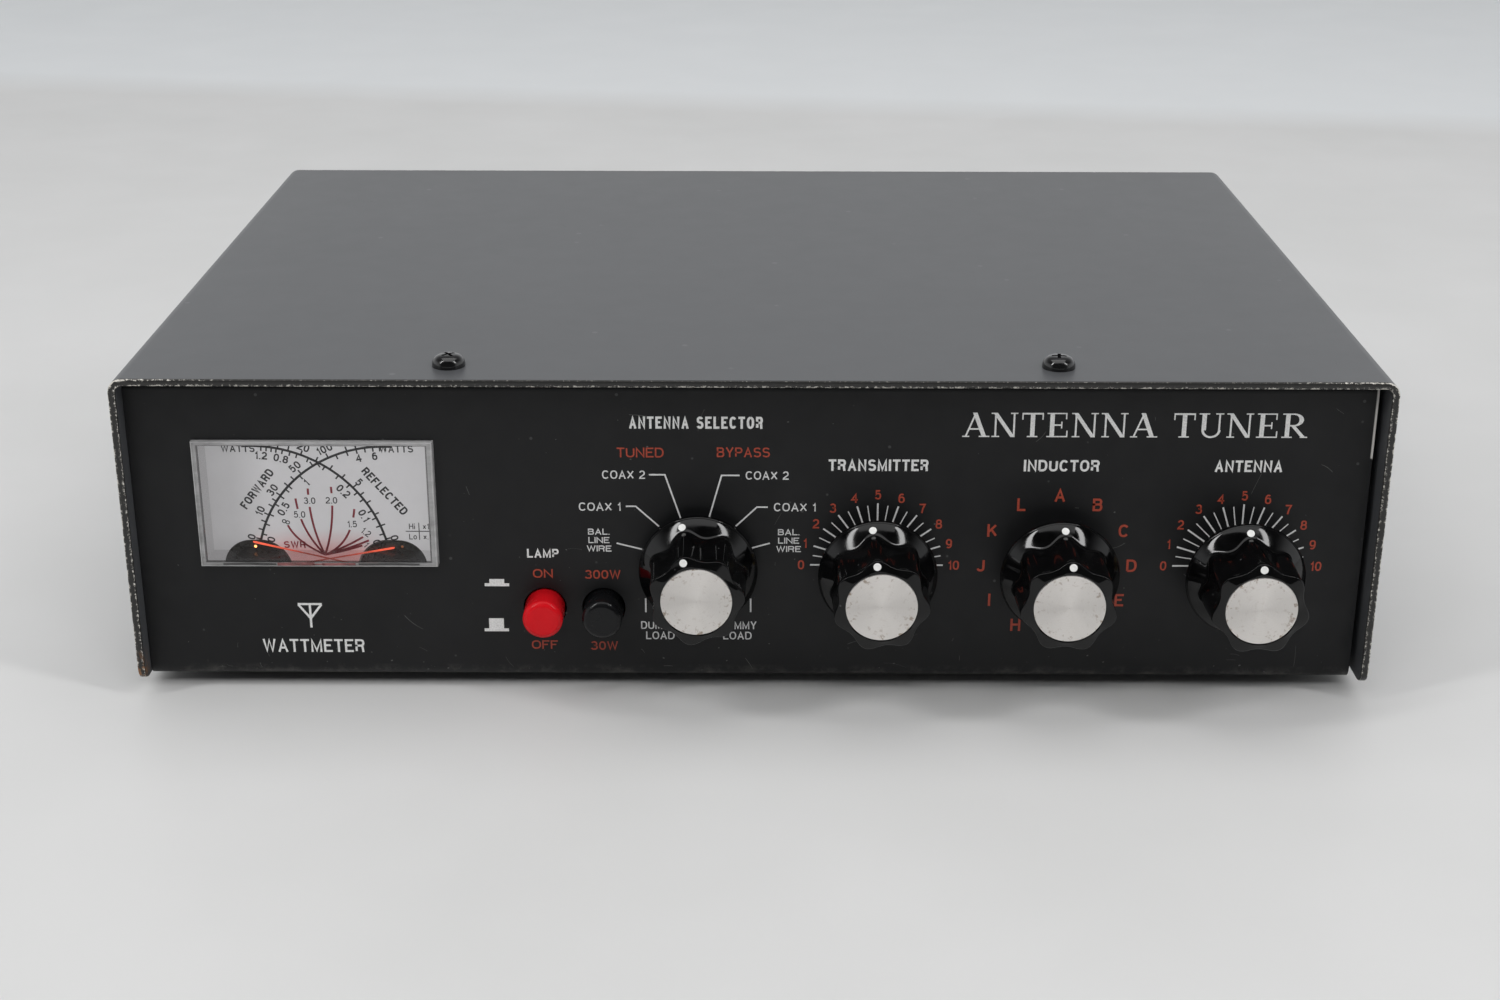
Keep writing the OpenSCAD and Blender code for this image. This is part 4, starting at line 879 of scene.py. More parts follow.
def dots(name, x, z, face, base, angle):
    """The white pointer dots: one on the skirt's bevel, one on the rounded front."""
    bm = bmesh.new()
    outward = Vector((math.cos(angle), 0, math.sin(angle)))
    sideways = Vector((-math.sin(angle), 0, math.cos(angle)))
    dot_r = 11.3
    skirt_y = base - RIM_H - SLOPE_H * ((BEVEL_R - dot_r) / (BEVEL_R - CONE_R)) ** 0.93
    for r, y, tilt, hollow in ((dot_r, skirt_y, 0.79, 0.0), (9.0, face + 0.27, 0.19, 0.03)):
        centre = Vector((x, y, z)) + outward * r
        normal = Vector((0, -1, 0)) * math.cos(tilt) + outward * math.sin(tilt)
        side = normal.cross(sideways)
        rings = ((0.82, -0.06), (0.8, 0.03), (0.72, 0.05), (0.3, 0.05),
                 (0.22, 0.05 - hollow), (0.06, 0.05 - hollow))
        made = grid(bm, [[centre + normal * rise + (sideways * math.cos(t) + side * math.sin(t)) * radius
                          for t in circle(24)] for radius, rise in rings])
        bm.faces.new(made[-1])
    bmesh.ops.recalc_face_normals(bm, faces=bm.faces)
    piece(name + "_dots", bm, name, "knob_black", WHITE_DOT)


def inlay(name, x, z, face):
    """A slightly domed spun disc whose UV map holds angle and radius."""
    bm = bmesh.new()
    uv = bm.loops.layers.uv.new("polar")
    disc_r = 7.4
    rings = [(r, 0.02) for r in (0.05, 1, 2, 3, 4, 5, 6, 6.8, 7.2, 7.36)] + [(disc_r, 0.05), (disc_r, 0.52)]
    steps = 96
    rows = [[(x + r * math.cos(t), face + sunk + 0.04 * (1 - r / disc_r), z + r * math.sin(t))
             for t in circle(steps)] for r, sunk in rings]
    grid(bm, rows)
    for i, made in enumerate(bm.faces):
        ring, k = divmod(i, steps)
        for loop, (a, r) in zip(made.loops, ((k, ring), (k + 1, ring), (k + 1, ring + 1), (k, ring + 1))):
            loop[uv].uv = (a / steps, rings[r][0] / disc_r)
    disc = piece(name + "_disc", bm, name, "spun_aluminium", sharp=40)
    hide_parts(name + "_inlay")


# ---------------------------------------------------------------- printing on the front panel

# Serif capitals in a unit square: bars (x0, z0, x1, z1, width) and flat boxes (x0, z0, x1, z1).
THIN, THICK, FOOT = 0.07, 0.17, 0.05
SERIF = {
    "A": (0.96, [(0.09, 0, 0.47, 1, THIN), (0.43, 1, 0.80, 0, THICK)],
          [(0.24, 0.3, 0.68, 0.36), (-0.03, 0, 0.24, FOOT), (0.6, 0, 1.0, FOOT)]),
    "N": (1.0, [(0.14, 0, 0.14, 1, THIN), (0.84, 0, 0.84, 1, THIN), (0.12, 1, 0.8, 0, THICK)],
          [(0, 0, 0.29, FOOT), (-0.03, 1 - FOOT, 0.2, 1), (0.7, 1 - FOOT, 0.98, 1)]),
    "T": (0.84, [(0.42, 0, 0.42, 1, THICK), (0.04, 0.72, 0.04, 1, THIN * 0.7),
                 (0.8, 0.72, 0.8, 1, THIN * 0.7)],
          [(0.02, 0.93, 0.82, 1), (0.22, 0, 0.62, FOOT)]),
    "E": (0.84, [(0.2, 0, 0.2, 1, THICK), (0.73, 0.74, 0.73, 1, THIN * 0.7),
                 (0.77, 0, 0.77, 0.27, THIN * 0.7), (0.56, 0.36, 0.56, 0.64, THIN * 0.7)],
          [(0.0, 1 - FOOT, 0.75, 1), (0.2, 0.47, 0.56, 0.53), (0.0, 0, 0.79, FOOT)]),
    "U": (0.96, [(0.2, 0.3, 0.2, 1, THICK), (0.78, 0.3, 0.78, 1, THIN)],
          [(0.0, 1 - FOOT, 0.4, 1), (0.63, 1 - FOOT, 0.93, 1)]),
    "R": (0.94, [(0.2, 0, 0.2, 1, THICK), (0.4, 0.5, 0.84, 0, THICK)],
          [(0.0, 1 - FOOT, 0.45, 1), (0.2, 0.47, 0.45, 0.53), (0.0, 0, 0.4, FOOT), (0.7, 0, 0.98, FOOT)]),
}


def serif_word(bm, text, x0, x1, z, height, y):
    """Sets text in serif capitals from x0 to x1 with its foot at z."""
    gap, blank = 0.12, 0.5
    total = sum(SERIF[c][0] + gap if c != " " else blank for c in text) - gap
    across = (x1 - x0) / total
    pen = 0.0
    layer = 0
    for c in text:
        if c == " ":
            pen += blank
            continue
        width, bars, boxes = SERIF[c]
        quads = [((a - w / 2, b), (a + w / 2, b), (d + w / 2, e), (d - w / 2, e)) for a, b, d, e, w in bars]
        quads += [((a, b), (d, b), (d, e), (a, e)) for a, b, d, e in boxes]
        if c in "UR":
            quads += serif_bowl(c)
        for quad in quads:
            layer = (layer + 1) % 7
            points = [(x0 + (pen + u) * across, y - 0.002 * layer, z + v * height) for u, v in quad]
            bm.faces.new([bm.verts.new(p) for p in points])
        pen += width + gap


def serif_bowl(letter):
    """The curved part of U or R as quads, thick on one side."""
    if letter == "U":
        centre, outer, inner, start, stop = (0.478, 0.31), (0.363, 0.33), (0.267, 0.25), 180, 360
    else:
        centre, outer, inner, start, stop = (0.44, 0.735), (0.36, 0.265), (0.19, 0.205), 90, -90
    steps = 12
    ring = []
    for i in range(steps + 1):
        a = math.radians(start + (stop - start) * i / steps)
        ring.append([(centre[0] + w * math.cos(a), centre[1] + h * math.sin(a)) for w, h in (outer, inner)])
    return [(p[0], q[0], q[1], p[1]) for p, q in zip(ring, ring[1:])]


def dial_ticks(bm, x, z, y):
    """Twenty-one ticks over the upper half circle, every second one longer and wider."""
    for i in range(21):
        outer, width = (14.25, 0.36) if i % 2 == 0 else (13.85, 0.24)
        strip(bm, radial(x, z, 180 - 9 * i, 9.6, outer), width, y)


def front_printing():
    """All the white and orange lettering and lines of the front panel."""
    white, fine, red = bmesh.new(), bmesh.new(), bmesh.new()
    y = PANEL_Y - 0.03
    label_r = 16.2
    centres = {name: middle(name + "_inlay") for name in KNOBS}
    for name in ("transmitter", "antenna"):
        c = centres[name]
        dial_ticks(fine, c.x, c.z, y)
        for i in range(11):
            a = math.radians(180 - 18 * i)
            shift = 0.35 if i == 10 else 0
            x, z = c.x + label_r * math.cos(a) + shift, c.z + label_r * math.sin(a)
            lettering(red, str(i), x, z, 2.15, y, weight=0.16)
    c = centres["inductor"]
    for i, letter in enumerate("ABCDEFGHIJKL"):
        a = math.radians(90 - 30 * i)
        x, z = c.x + label_r * math.cos(a), c.z + label_r * math.sin(a)
        lettering(red, letter, x, z, 2.9, y, weight=0.17)
    selector_printing(fine, red, centres["selector"], y)
    for name, x, z, height, width in (("ANTENNA SELECTOR", -12.05, 62.1, 2.7, 28.1),
                                      ("TRANSMITTER", 26.45, 52.7, 2.6, 21.1),
                                      ("INDUCTOR", 65.1, 52.7, 2.6, 16.0),
                                      ("ANTENNA", 104.55, 52.7, 2.6, 14.3)):
        lettering(white, name, x, z, height, y, width=width, weight=0.19)
    serif_word(white, "ANTENNA TUNER", 44.0, 116.0, 59.1, 5.4, y)
    button_printing(white, red, y)
    lettering(white, "WATTMETER", -95.8, 10.3, 3.1, y, width=22.2, weight=0.155)
    antenna_symbol(white, -96.0, 14.6, y)
    piece("print_white", white, "case", "panel_paint", WHITE_INK)
    piece("print_fine", fine, "case", "panel_paint", FINE_INK)
    piece("print_red", red, "case", "panel_paint", RED_INK)


def antenna_symbol(bm, x, z, y):
    """The circuit symbol of an antenna: a mast under an open triangle."""
    strip(bm, [(x, z), (x, z + 5.6)], 0.5, y)
    strip(bm, [(x - 2.6, z + 5.6), (x + 2.6, z + 5.6)], 0.5, y - 0.002)
    strip(bm, [(x - 2.5, z + 5.5), (x, z + 2.2), (x + 2.5, z + 5.5)], 0.5, y - 0.004)


def selector_printing(white, red, c, y):
    """Positions of the antenna selector with their leader lines, placed from the knob's axis c."""
    for ink, word, x, z, height, width in (
            (red, "TUNED", -12.15, 25.6, 2.2, 9.9), (red, "BYPASS", 9.6, 25.7, 2.2, 11.2),
            (white, "COAX 2", -15.75, 20.6, 1.9, 9.1), (white, "COAX 2", 14.65, 20.5, 1.9, 9.1),
            (white, "COAX 1", -20.95, 13.3, 1.9, 8.9), (white, "COAX 1", 20.55, 13.3, 1.9, 8.9)):
        lettering(ink, word, c.x + x, c.z + z, height, y, width=width, weight=0.15)
    for x in (-21.3, 19.3):
        for word, rise, width in (("BAL.", 7.55, 4.6), ("LINE", 5.6, 4.5), ("WIRE", 3.65, 5.3)):
            lettering(white, word, c.x + x, c.z + rise, 1.4, y, width=width, weight=0.17)
    for x in (-8.65, 8.55):
        lettering(white, "DUMMY", c.x + x, c.z - 14.35, 1.85, y, width=7.9, weight=0.15)
        lettering(white, "LOAD", c.x + x * 0.975, c.z - 16.8, 1.85, y, width=6.2, weight=0.15)
    for line in (((-10.4, 20.6), (-7.0, 20.6), (-3.7, 10.5)), ((8.8, 20.5), (5.0, 20.5), (2.2, 10.5)),
                 ((-15.4, 13.4), (-13.3, 13.4), (-8.4, 8.8)), ((14.8, 13.3), (12.5, 13.3), (8.0, 8.9)),
                 ((-17.5, 4.9), (-12.1, 3.5)), ((15.3, 5.0), (11.2, 3.8)),
                 ((-11.5, -8.0), (-11.5, -11.3)), ((11.2, -8.0), (11.2, -11.2))):
        strip(white, [(c.x + u, c.z + v) for u, v in line], 0.34, y)


def button_printing(white, red, y):
    """Words and small pictures by the two push buttons."""
    lamp, range_ = middle("lamp_button"), middle("range_button")
    lettering(white, "LAMP", lamp.x - 0.1, lamp.z + 12.8, 2.05, y, width=6.8, weight=0.19)
    for word, x, rise, width in (("ON", lamp.x - 0.25, 8.1, 4.3), ("OFF", lamp.x - 0.35, -8.8, 5.7),
                                 ("300W", range_.x - 0.05, 7.9, 7.7), ("30W", range_.x - 0.05, -9.0, 5.9)):
        lettering(red, word, x, lamp.z + rise, 2.05, y, width=width, weight=0.16)
    for x, z, block_h in ((-55.25, 24.9, 1.0), (-55.7, 14.2, 2.4)):
        strip(white, [(x - 2.65, z), (x + 2.65, z)], 0.7, y)
        strip(white, [(x, z + 0.35), (x, z + 0.35 + block_h)], 3.2, y - 0.002)


def over_meter(x, z, half_w, half_h):
    """True inside an upright rectangle about the middle of the meter."""
    return abs(x - METER.x) < half_w and abs(z - METER.z) < half_h


def panel_scuffs(chance):
    """Fine curved scratches, then specks of dust, mostly low on the panel."""
    bm = bmesh.new()
    y = PANEL_Y - 0.015
    for _ in range(46):
        x, z = chance.uniform(-124, 124), 5 + 60 * chance.random() ** 2
        if over_meter(x, z, 28, 17):
            continue
        way = chance.uniform(0, math.pi)
        length = chance.choice((0.8, 1.2, 2.0, 3.0, 5.0))
        curl = chance.uniform(-0.3, 0.3)
        points = [(x + length * t * math.cos(way + curl * t), z + length * t * math.sin(way + curl * t))
                  for t in (0, 0.25, 0.5, 0.75, 1)]
        if all(4.6 < v < 67 and abs(u) < 126 for u, v in points):
            strip(bm, points, chance.uniform(0.04, 0.11), y)
    for _ in range(170):
        x, z = chance.uniform(-127, 126), 4.6 + 58 * chance.random() ** 2.4
        if over_meter(x, z, 27, 16):
            continue
        size = 0.05 + 0.16 * chance.random() ** 3
        strip(bm, [(x - size, z), (x + size, z + chance.uniform(-size, size))], size * 1.4, y - 0.003)
    piece("panel_scuffs", bm, "case", "panel_paint", SCUFF)


def cover_dust(chance):
    """Specks and a few longer hairs on the cover's top."""
    bm = bmesh.new()
    for _ in range(70):
        x, along = chance.uniform(-126, 126), chance.uniform(-88, 90)
        way, length = chance.uniform(0, math.pi), chance.choice((0.3, 0.4, 0.6, 2.5))
        width = 0.16 if length < 1 else 0.07
        strip(bm, [(x, along), (x + length * math.cos(way), along + length * math.sin(way))], width, 0)
    for v in bm.verts:
        v.co = Vector((v.co.x, v.co.z, COVER_HIGH.z + 0.012))
    bmesh.ops.recalc_face_normals(bm, faces=bm.faces)
    piece("cover_dust", bm, "case", "cover_paint", DUST)


def scuffs():
    """Scratches and dust, from one seeded run of random numbers."""
    chance = random.Random(11)
    panel_scuffs(chance)
    cover_dust(chance)


# ---------------------------------------------------------------- buttons

def button_piece(name, slot):
    """A round push button with a chamfered, very slightly domed face."""
    low, high = node_box(name)
    x, z = (low.x + high.x) / 2, (low.z + high.z) / 2
    r = (high.x - low.x) / 2
    face = ((0, 0.02), (0.01, r * 0.4), (0.03, r - 1.3), (0.06, r - 0.95), (0.18, r - 0.72),
            (0.7, r - 0.12), (0.95, r - 0.02), (1.3, r))
    profile = [(low.y + depth, radius) for depth, radius in face] + [(high.y - 0.2, r), (high.y, r - 0.2)]
    bm = bmesh.new()
    lathe(bm, x, z, profile, 64)
    obj = piece(name + "_cap", bm, name.replace("button", "switch"), slot, sharp=50)
    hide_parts(name)


# ---------------------------------------------------------------- meter

DIAL_Y = node_box("meter_dial")[0].y
FORWARD = Vector((METER.x + 14.1, METER.z - 17.45))     # centres of the two scale arcs
REFLECTED = Vector((METER.x - 14.1, METER.z - 17.35))
SCALE_R = 28.5


def window_ring(share, y):
    """The window's outline drawn in by a share of its bevel's width, at depth y."""
    side, roof, foot = 1.5 * share, 0.95 * share, 1.35 * share
    left, right = METER.x - WINDOW_W / 2 + side, METER.x + WINDOW_W / 2 - side
    low, high = METER.z - WINDOW_H / 2 + foot, METER.z + WINDOW_H / 2 - roof
    return [(left, y, low), (right, y, low), (right, y, high), (left, y, high)]


def window_piece():
    """The clear front: a bevelled rim round a flat pane, with painted shade and painted red lamplight along
    its foot.
    """
    front = node_box("meter_window")[0].y
    rim = bmesh.new()
    grid(rim, [window_ring(share, y) for share, y in (
        (0, PANEL_Y + SHEET), (0, front + 0.3), (0.06, front + 0.08), (0.2, front), (0.76, front),
        (0.92, front + 0.1), (1, front + 0.35), (1, front + 1.5), (1, DIAL_Y - 0.05))])
    looks = (1, 1, 1, 0, 2, 2, 3, 3)        # the material of each band, from the back outwards and in
    for i, face in enumerate(rim.faces):
        face.material_index = looks[i // 4]
    piece("window_rim", rim, "case", "window_clear", RIM_FRONT, RIM_HIGHLIGHT, RIM_SHADE, RIM_INSIDE, sharp=25)
    pane = bmesh.new()
    made = grid(pane, [window_ring(0.97, front + 0.12), window_ring(6, front + 0.12)])
    pane.faces.new(made[-1])
    obj = piece("window_pane", pane, "case", "window_clear", MATERIALS["window_clear"])
    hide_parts("meter_window")
    # Painted light along the window's foot: dark strips of painted shade and warm strips of painted red
    # lamplight.
    shade, warm = bmesh.new(), bmesh.new()
    x, foot = METER.x, METER.z - WINDOW_H / 2 + 0.62
    for start, end in ((-20.6, -9.2), (8.4, 21.5)):
        line = [(x + start, foot), (x + (start + end) / 2, foot + 0.1), (x + end, foot)]
        strip(shade, line, 0.5, front - 0.005)
    for start, end, width in ((-9.0, -1.0, 0.75), (0.6, 7.8, 0.6), (-1.4, 1.2, 0.35)):
        strip(warm, [(x + start, foot), (x + end, foot + 0.05)], width, front - 0.008)
    piece("window_foot_shade", shade, "case", "window_clear", RIM_SHADE)
    piece("window_foot_glow", warm, "case", "window_clear", RIM_LAMPLIGHT)


def scale_marks(bm, centre, y, outer, inner):
    """Ticks on both sides of a scale arc at the given angles."""
    for angle in outer:
        strip(bm, radial(*centre, angle, SCALE_R, SCALE_R + 1.1), 0.34, y - 0.002)
    for angle in inner:
        strip(bm, radial(*centre, angle, SCALE_R - 1.05, SCALE_R), 0.34, y - 0.004)


def scale_numbers(bm, centre, y, radius, numbers):
    """Numbers set round an arc, each upright along its radius."""
    for text, angle in numbers:
        a = math.radians(angle)
        lettering(bm, text, centre.x + radius * math.cos(a), centre.y + radius * math.sin(a), 1.75, y,
                  turn=angle - 90, weight=0.19)


def meter_printing():
    """The cross-needle scales, their numbers and the red standing-wave curves."""
    dark, red = bmesh.new(), bmesh.new()
    y = DIAL_Y - 0.03
    strip(dark, arc(*FORWARD, SCALE_R, 166, 86, 48), 0.52, y)
    strip(dark, arc(*REFLECTED, SCALE_R, 14, 94, 48), 0.52, y - 0.002)
    scale_marks(dark, FORWARD, y,
                (165.5, 161, 157, 153.4, 149, 146, 142.7, 137, 133, 128.7, 122.3, 114.5, 105.8, 101.7),
                (163, 158, 153, 147.5, 143, 139, 136.9, 129.9, 120, 110.9, 106, 101.7, 98, 94.5, 91.5, 89))
    scale_marks(dark, REFLECTED, y,
                (14.5, 21, 26.7, 32.9, 37.4, 41.9, 48.2, 54.5, 61.4, 68.3, 74, 78.5, 82, 85.5),
                (17, 21, 25, 28.8, 35, 39, 43.8, 50, 57, 64.8, 69.9, 73, 76.3, 79, 81.1, 83.3, 85.6))
    for centre, radius, numbers in (
            (FORWARD, 30.6, (("0", 165.5), ("10", 153.4), ("30", 142.7), ("50", 128.7), ("100", 114.2))),
            (FORWARD, 26.4, (("0", 164.5), ("0.5", 147.5), ("1", 129.9), ("4", 101.7), ("6", 94.1))),
            (REFLECTED, 30.4, (("0", 14.1), ("5", 41.9), ("20", 68.3))),
            (REFLECTED, 26.4, (("0", 13.9), ("0.1", 28.5), ("0.2", 43.6), ("0.8", 76.3), ("1.2", 85.6)))):
        scale_numbers(dark, centre, y, radius, numbers)
    for word, x, z, height, width, turn, weight in (("FORWARD", -13.5, 1.35, 1.9, 10.8, 52, 0.2),
                                                    ("REFLECTED", 13.9, 0.85, 1.9, 13.2, -50, 0.2),
                                                    ("WATTS", -16.9, 10.55, 1.6, 7.2, 0, 0.18),
                                                    ("WATTS", 16.9, 10.55, 1.6, 7.2, 0, 0.18)):
        lettering(dark, word, METER.x + x, METER.z + z, height, y, width=width, turn=turn, weight=weight)
    range_table(dark, METER.x + 20.8, METER.z - 8.4, y)
    standing_wave(dark, red, y)
    piece("dial_print_dark", dark, "case", "dial_print", DIAL_INK)
    piece("dial_print_red", red, "case", "dial_print", CURVE_INK)


def range_table(bm, x, z, y):
    """Multipliers of the two power ranges."""
    strip(bm, [(x - 2.9, z), (x + 2.9, z)], 0.2, y)
    strip(bm, [(x, z - 2), (x, z + 2)], 0.2, y - 0.002)
    for text, u, v in (("Hi", -1.5, 1.15), ("x1", 1.5, 1.15), ("Lo", -1.4, -1.25), ("x.1", 1.7, -1.25)):
        lettering(bm, text, x + u, z + v, 1.3, y, weight=0.15)


def standing_wave(dark, red, y):
    """Curves from the foot of the dial, each with its number, and most of them broken by it.

    A curve runs from the foot to its end, pulled towards its bow; the last pair places the number.
    """
    foot = Vector((METER.x + 0.1, METER.z - 13.95))
    steps = 24
    curves = (("~", (-7.6, 6.9), (-6.0, 2.95), (-7.9, 7.8)),
              ("5.0", (-5.5, 13.1), (-4.95, 5.65), (-4.9, 9.4)),
              ("3.0", (-2.7, 15.4), (-2.85, 6.7), (-2.5, 12.6)),
              ("2.0", (2.3, 15.8), (2.65, 6.9), (2.2, 12.7)),
              ("1.5", (7.0, 10.7), (5.9, 2.45), (6.3, 7.2)),
              ("1.2", (8.5, 4.2), (4.5, 1.75), (9.2, 5.3)),
              ("", (9.7, 3.4), (4.9, 1.3), None),
              ("1", (8.2, 2.2), (4.5, 0.9), (9.1, 2.4)))
    for layer, (text, end, bow, place) in enumerate(curves):
        points = []
        for t in (i / steps for i in range(steps + 1)):
            points.append([e * t * t + 2 * b * t * (1 - t) for e, b in zip(end, bow)])
        runs = [points]
        if text in ("5.0", "3.0", "2.0", "1.5"):
            over, under = place[1] + 1.05, place[1] - 1.05
            runs = [[p for p in points if p[1] > over], [p for p in points if p[1] < under]]
        for run in runs:
            if len(run) > 1:
                strip(red, [(foot.x + u, foot.y + v) for u, v in run], 0.46, y - 0.003 * layer)
        if place:
            lettering(dark, text, foot.x + place[0], foot.y + place[1], 1.5, y - 0.01, weight=0.15,
                      turn={"1.2": -40, "1": -50, "~": -20}.get(text, 0))
    lettering(red, "SWR", METER.x - 6.3, METER.z - 11.6, 1.6, y, width=4.8, weight=0.2)


def movement_covers():
    """Smoked covers over the two pivots, each with a glint of the lamp."""
    z, y = METER.z - 16.6, DIAL_Y - 0.1
    cover = ((-0.12, 0.9), (-0.1, 2.6), (-0.02, 2.75), (-0.02, 4.3), (-0.1, 4.45), (-0.06, 5.7), (0.1, 6.1),
             (0.35, 6.2))
    glint = ((-0.26, 0.02), (-0.25, 0.22), (-0.2, 0.3))
    for offset, name, strength in ((-15.7, "left", 4), (16.1, "right", 0.12)):
        x = METER.x + offset
        bm = bmesh.new()
        lathe(bm, x, z, [(y + depth, r) for depth, r in cover], 48, cap_end=False)
        piece("pivot_cover_" + name, bm, "case", "movement_metal", sharp=20)
        spot = bmesh.new()
        lathe(spot, x + 0.9, z + 4.7, [(y + depth, r) for depth, r in glint], 16)
        lit = glow("lamp_glint_" + name, (1.0, 0.35, 0.1), strength, (0.8, 0.3, 0.12))
        piece("lamp_glint_" + name, spot, "case", "lamp_glass", lit)


def needle_piece(name, side):
    """A thin needle that narrows to its tip, on its pivot boss."""
    y = node_box(name)[0].y
    body = name.replace("needle_", "") + "_movement"
    pivot = Vector((METER.x + side * 14.05, METER.z - 17.4))
    angle = math.radians(166.5 if side > 0 else 10.4)
    along = Vector((math.cos(angle), math.sin(angle)))
    across = Vector((-along.y, along.x))
    bm = bmesh.new()
    rows = []
    for s, w in ((-5.5, 0.4), (-1, 0.3), (4, 0.16), (20, 0.16), (26, 0.2), (29.6, 0.22), (29.9, 0.12)):
        p = pivot + along * s
        half, chamfer = across * w, across * w * 0.6
        edges = ((p + half, 0), (p + chamfer, 0.28), (p - chamfer, 0.28), (p - half, 0))
        rows.append([(q.x, y + depth, q.y) for q, depth in edges])
    made = grid(bm, rows)
    bm.faces.new(made[0])
    bm.faces.new(made[-1][::-1])
    lathe(bm, pivot.x, pivot.y, rounded(y, y + 0.3, 1.4, 0.1), 24)
    bmesh.ops.recalc_face_normals(bm, faces=bm.faces)
    obj = piece(name + "_blade", bm, body, "needle_paint", sharp=30)
    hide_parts(name)


# ---------------------------------------------------------------- back

def socket_axes():
    """The x of each coaxial socket's axis, and the z that they share."""
    low, high = node_box("coax_sockets")
    square = 12.7                           # half the flange's side
    return [low.x + square + i * (high.x - low.x - 2 * square) / 3 for i in range(4)], (low.z + high.z) / 2


def square_flange(bm, x, z, y):
    """A socket's flange with rounded corners; y is its outer face."""
    square, corner = 12.7, 1.2
    outline = []
    for quarter, (sx, sz) in enumerate(((1, 1), (-1, 1), (-1, -1), (1, -1))):
        outline += arc(x + sx * (square - corner), z + sz * (square - corner), corner,
                       90 * quarter, 90 * quarter + 90, 4)
    rows = []
    for depth, inset in ((REAR_Y + 0.01, 0), (y - 0.2, 0), (y, 0.2)):
        k = (square - inset) / square
        rows.append([(x + (u - x) * k, depth, z + (v - z) * k) for u, v in outline])
    made = grid(bm, rows)
    bm.faces.new(made[-1])
    bm.faces.new(made[0][::-1])


def coax_sockets():
    """Threaded barrels on square flanges, with a hollow mouth."""
    xs, z = socket_axes()
    mouth = node_box("coax_sockets")[1].y
    flange_y = REAR_Y + 1.6
    pitch = 25.4 / 24
    profile = [(flange_y - 0.1, 7.2), (flange_y + 0.6, 7.2)]
    for i in range(int((mouth - flange_y - 1.6) / pitch)):
        y = flange_y + 0.8 + i * pitch
        profile += [(y, 7.35), (y + pitch * 0.3, 7.92), (y + pitch * 0.5, 7.92), (y + pitch * 0.85, 7.35)]
    lip = ((0.5, 7.5), (0.15, 7.4), (0, 7.2), (0, 6.6), (0.2, 6.35), (7.9, 6.35))
    profile += [(mouth - depth, r) for depth, r in lip]
    bm = bmesh.new()
    for x in xs:
        square_flange(bm, x, z, flange_y)
        for turned in (profile, [(mouth - 7.9, 6.35), (mouth - 7.95, 5.2)]):
            lathe(bm, x, z, turned, 56, cap_start=False, cap_end=False)
    obj = piece("coax_socket_shells", bm, "case", "socket_nickel", sharp=30)
    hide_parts("coax_sockets")


def threaded_studs():
    """Plated studs with rolled threads and chamfered ends; the ground stud has an inner collar."""
    bm = bmesh.new()
    low, high = node_box("terminal_studs")
    z = middle("wing_nut_wire").z
    inner = REAR_Y - SHEET
    pitch, root_r, crest_r = 0.8, 2.08, 2.38
    studs = {name: (low.y, high.y) for name in CONE_NUTS}
    studs["wing_nut_ground"] = (inner - 5, COVER_HIGH.y + 13)
    for name, (start, end) in studs.items():
        profile = [(start, 2.0), (start + 0.3, 2.2)]
        if name == "wing_nut_ground":
            profile += [(inner - 3, 2.2), (inner - 3, 4.3), (inner - 2.7, 4.6), (inner, 4.6), (inner, 2.1)]
        y = profile[-1][0]
        while y < end - 1.0:
            profile += [(y + 0.1, root_r), (y + pitch * 0.45, crest_r), (y + pitch * 0.6, crest_r),
                        (y + pitch, root_r)]
            y += pitch
        profile += [(end - 0.45, 2.15), (end, 1.75)]
        lathe(bm, middle(name).x, z, profile, 32)
    obj = piece("stud_threads", bm, "case", "nut_nickel", sharp=25)
    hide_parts("terminal_studs")


def wing_section(t, hub_h, top):
    """(height, offset) points round a wing, at the share t of the way from hub to tip."""
    lift = 0.7 + (top * 0.34) * t
    rise = hub_h - 0.7 + (top - hub_h + 0.6) * math.sin(math.pi * min(1, t * 1.05) * 0.62)
    thick = 0.95 - 0.15 * t
    rounding = 0.75
    if t > rounding:
        f = (t - rounding) / (1 - rounding)
        mid = (lift + rise) / 2
        lift += (mid - lift) * f ** 2.2 * 0.75
        rise += (mid - rise) * f ** 2.2 * 0.75
        thick *= 1 - 0.45 * f ** 2
    waist, edge = (lift + rise) / 2, thick * 0.6
    return [(lift, -edge), (lift - 0.15, 0), (lift, edge), (waist, thick),
            (rise, edge), (rise + 0.15, 0), (rise, -edge), (waist, -thick)]


def wing_nut_piece(name):
    """A cast wing nut: tapered hub with two raised, rounded wings."""
    low, high = node_box(name)
    c = (low + high) / 2
    body = "line_nut_" + name[-1] if "line" in name else name.replace("wing_nut_", "") + "_nut"
    bm = bmesh.new()
    hub_h, bore_r = 5.5, 2.5
    hub = ((0, bore_r), (0, 4.5), (0.25, 4.78), (hub_h - 0.6, 3.95), (hub_h - 0.1, 3.6), (hub_h, 3.2),
           (hub_h, bore_r))
    for turned in (hub, ((hub_h, bore_r), (0, bore_r))):
        lathe(bm, c.x, c.z, [(low.y + y, r) for y, r in turned], 40, cap_start=False, cap_end=False)
    top = high.y - low.y
    root, tip = 3.1, 10.35
    steps = 14
    for side in (-1, 1):
        rows = []
        for t in (k / steps for k in range(steps + 1)):
            x = c.x + side * (root + (tip - root) * t)
            rows.append([(x, low.y + min(y, top), c.z + z) for y, z in wing_section(t, hub_h, top)])
        made = grid(bm, rows)
        bm.faces.new(made[0])
        bm.faces.new(made[-1])
    bmesh.ops.recalc_face_normals(bm, faces=bm.faces)
    obj = piece(name + "_cast", bm, body, "nut_nickel", sharp=40)
    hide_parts(name)


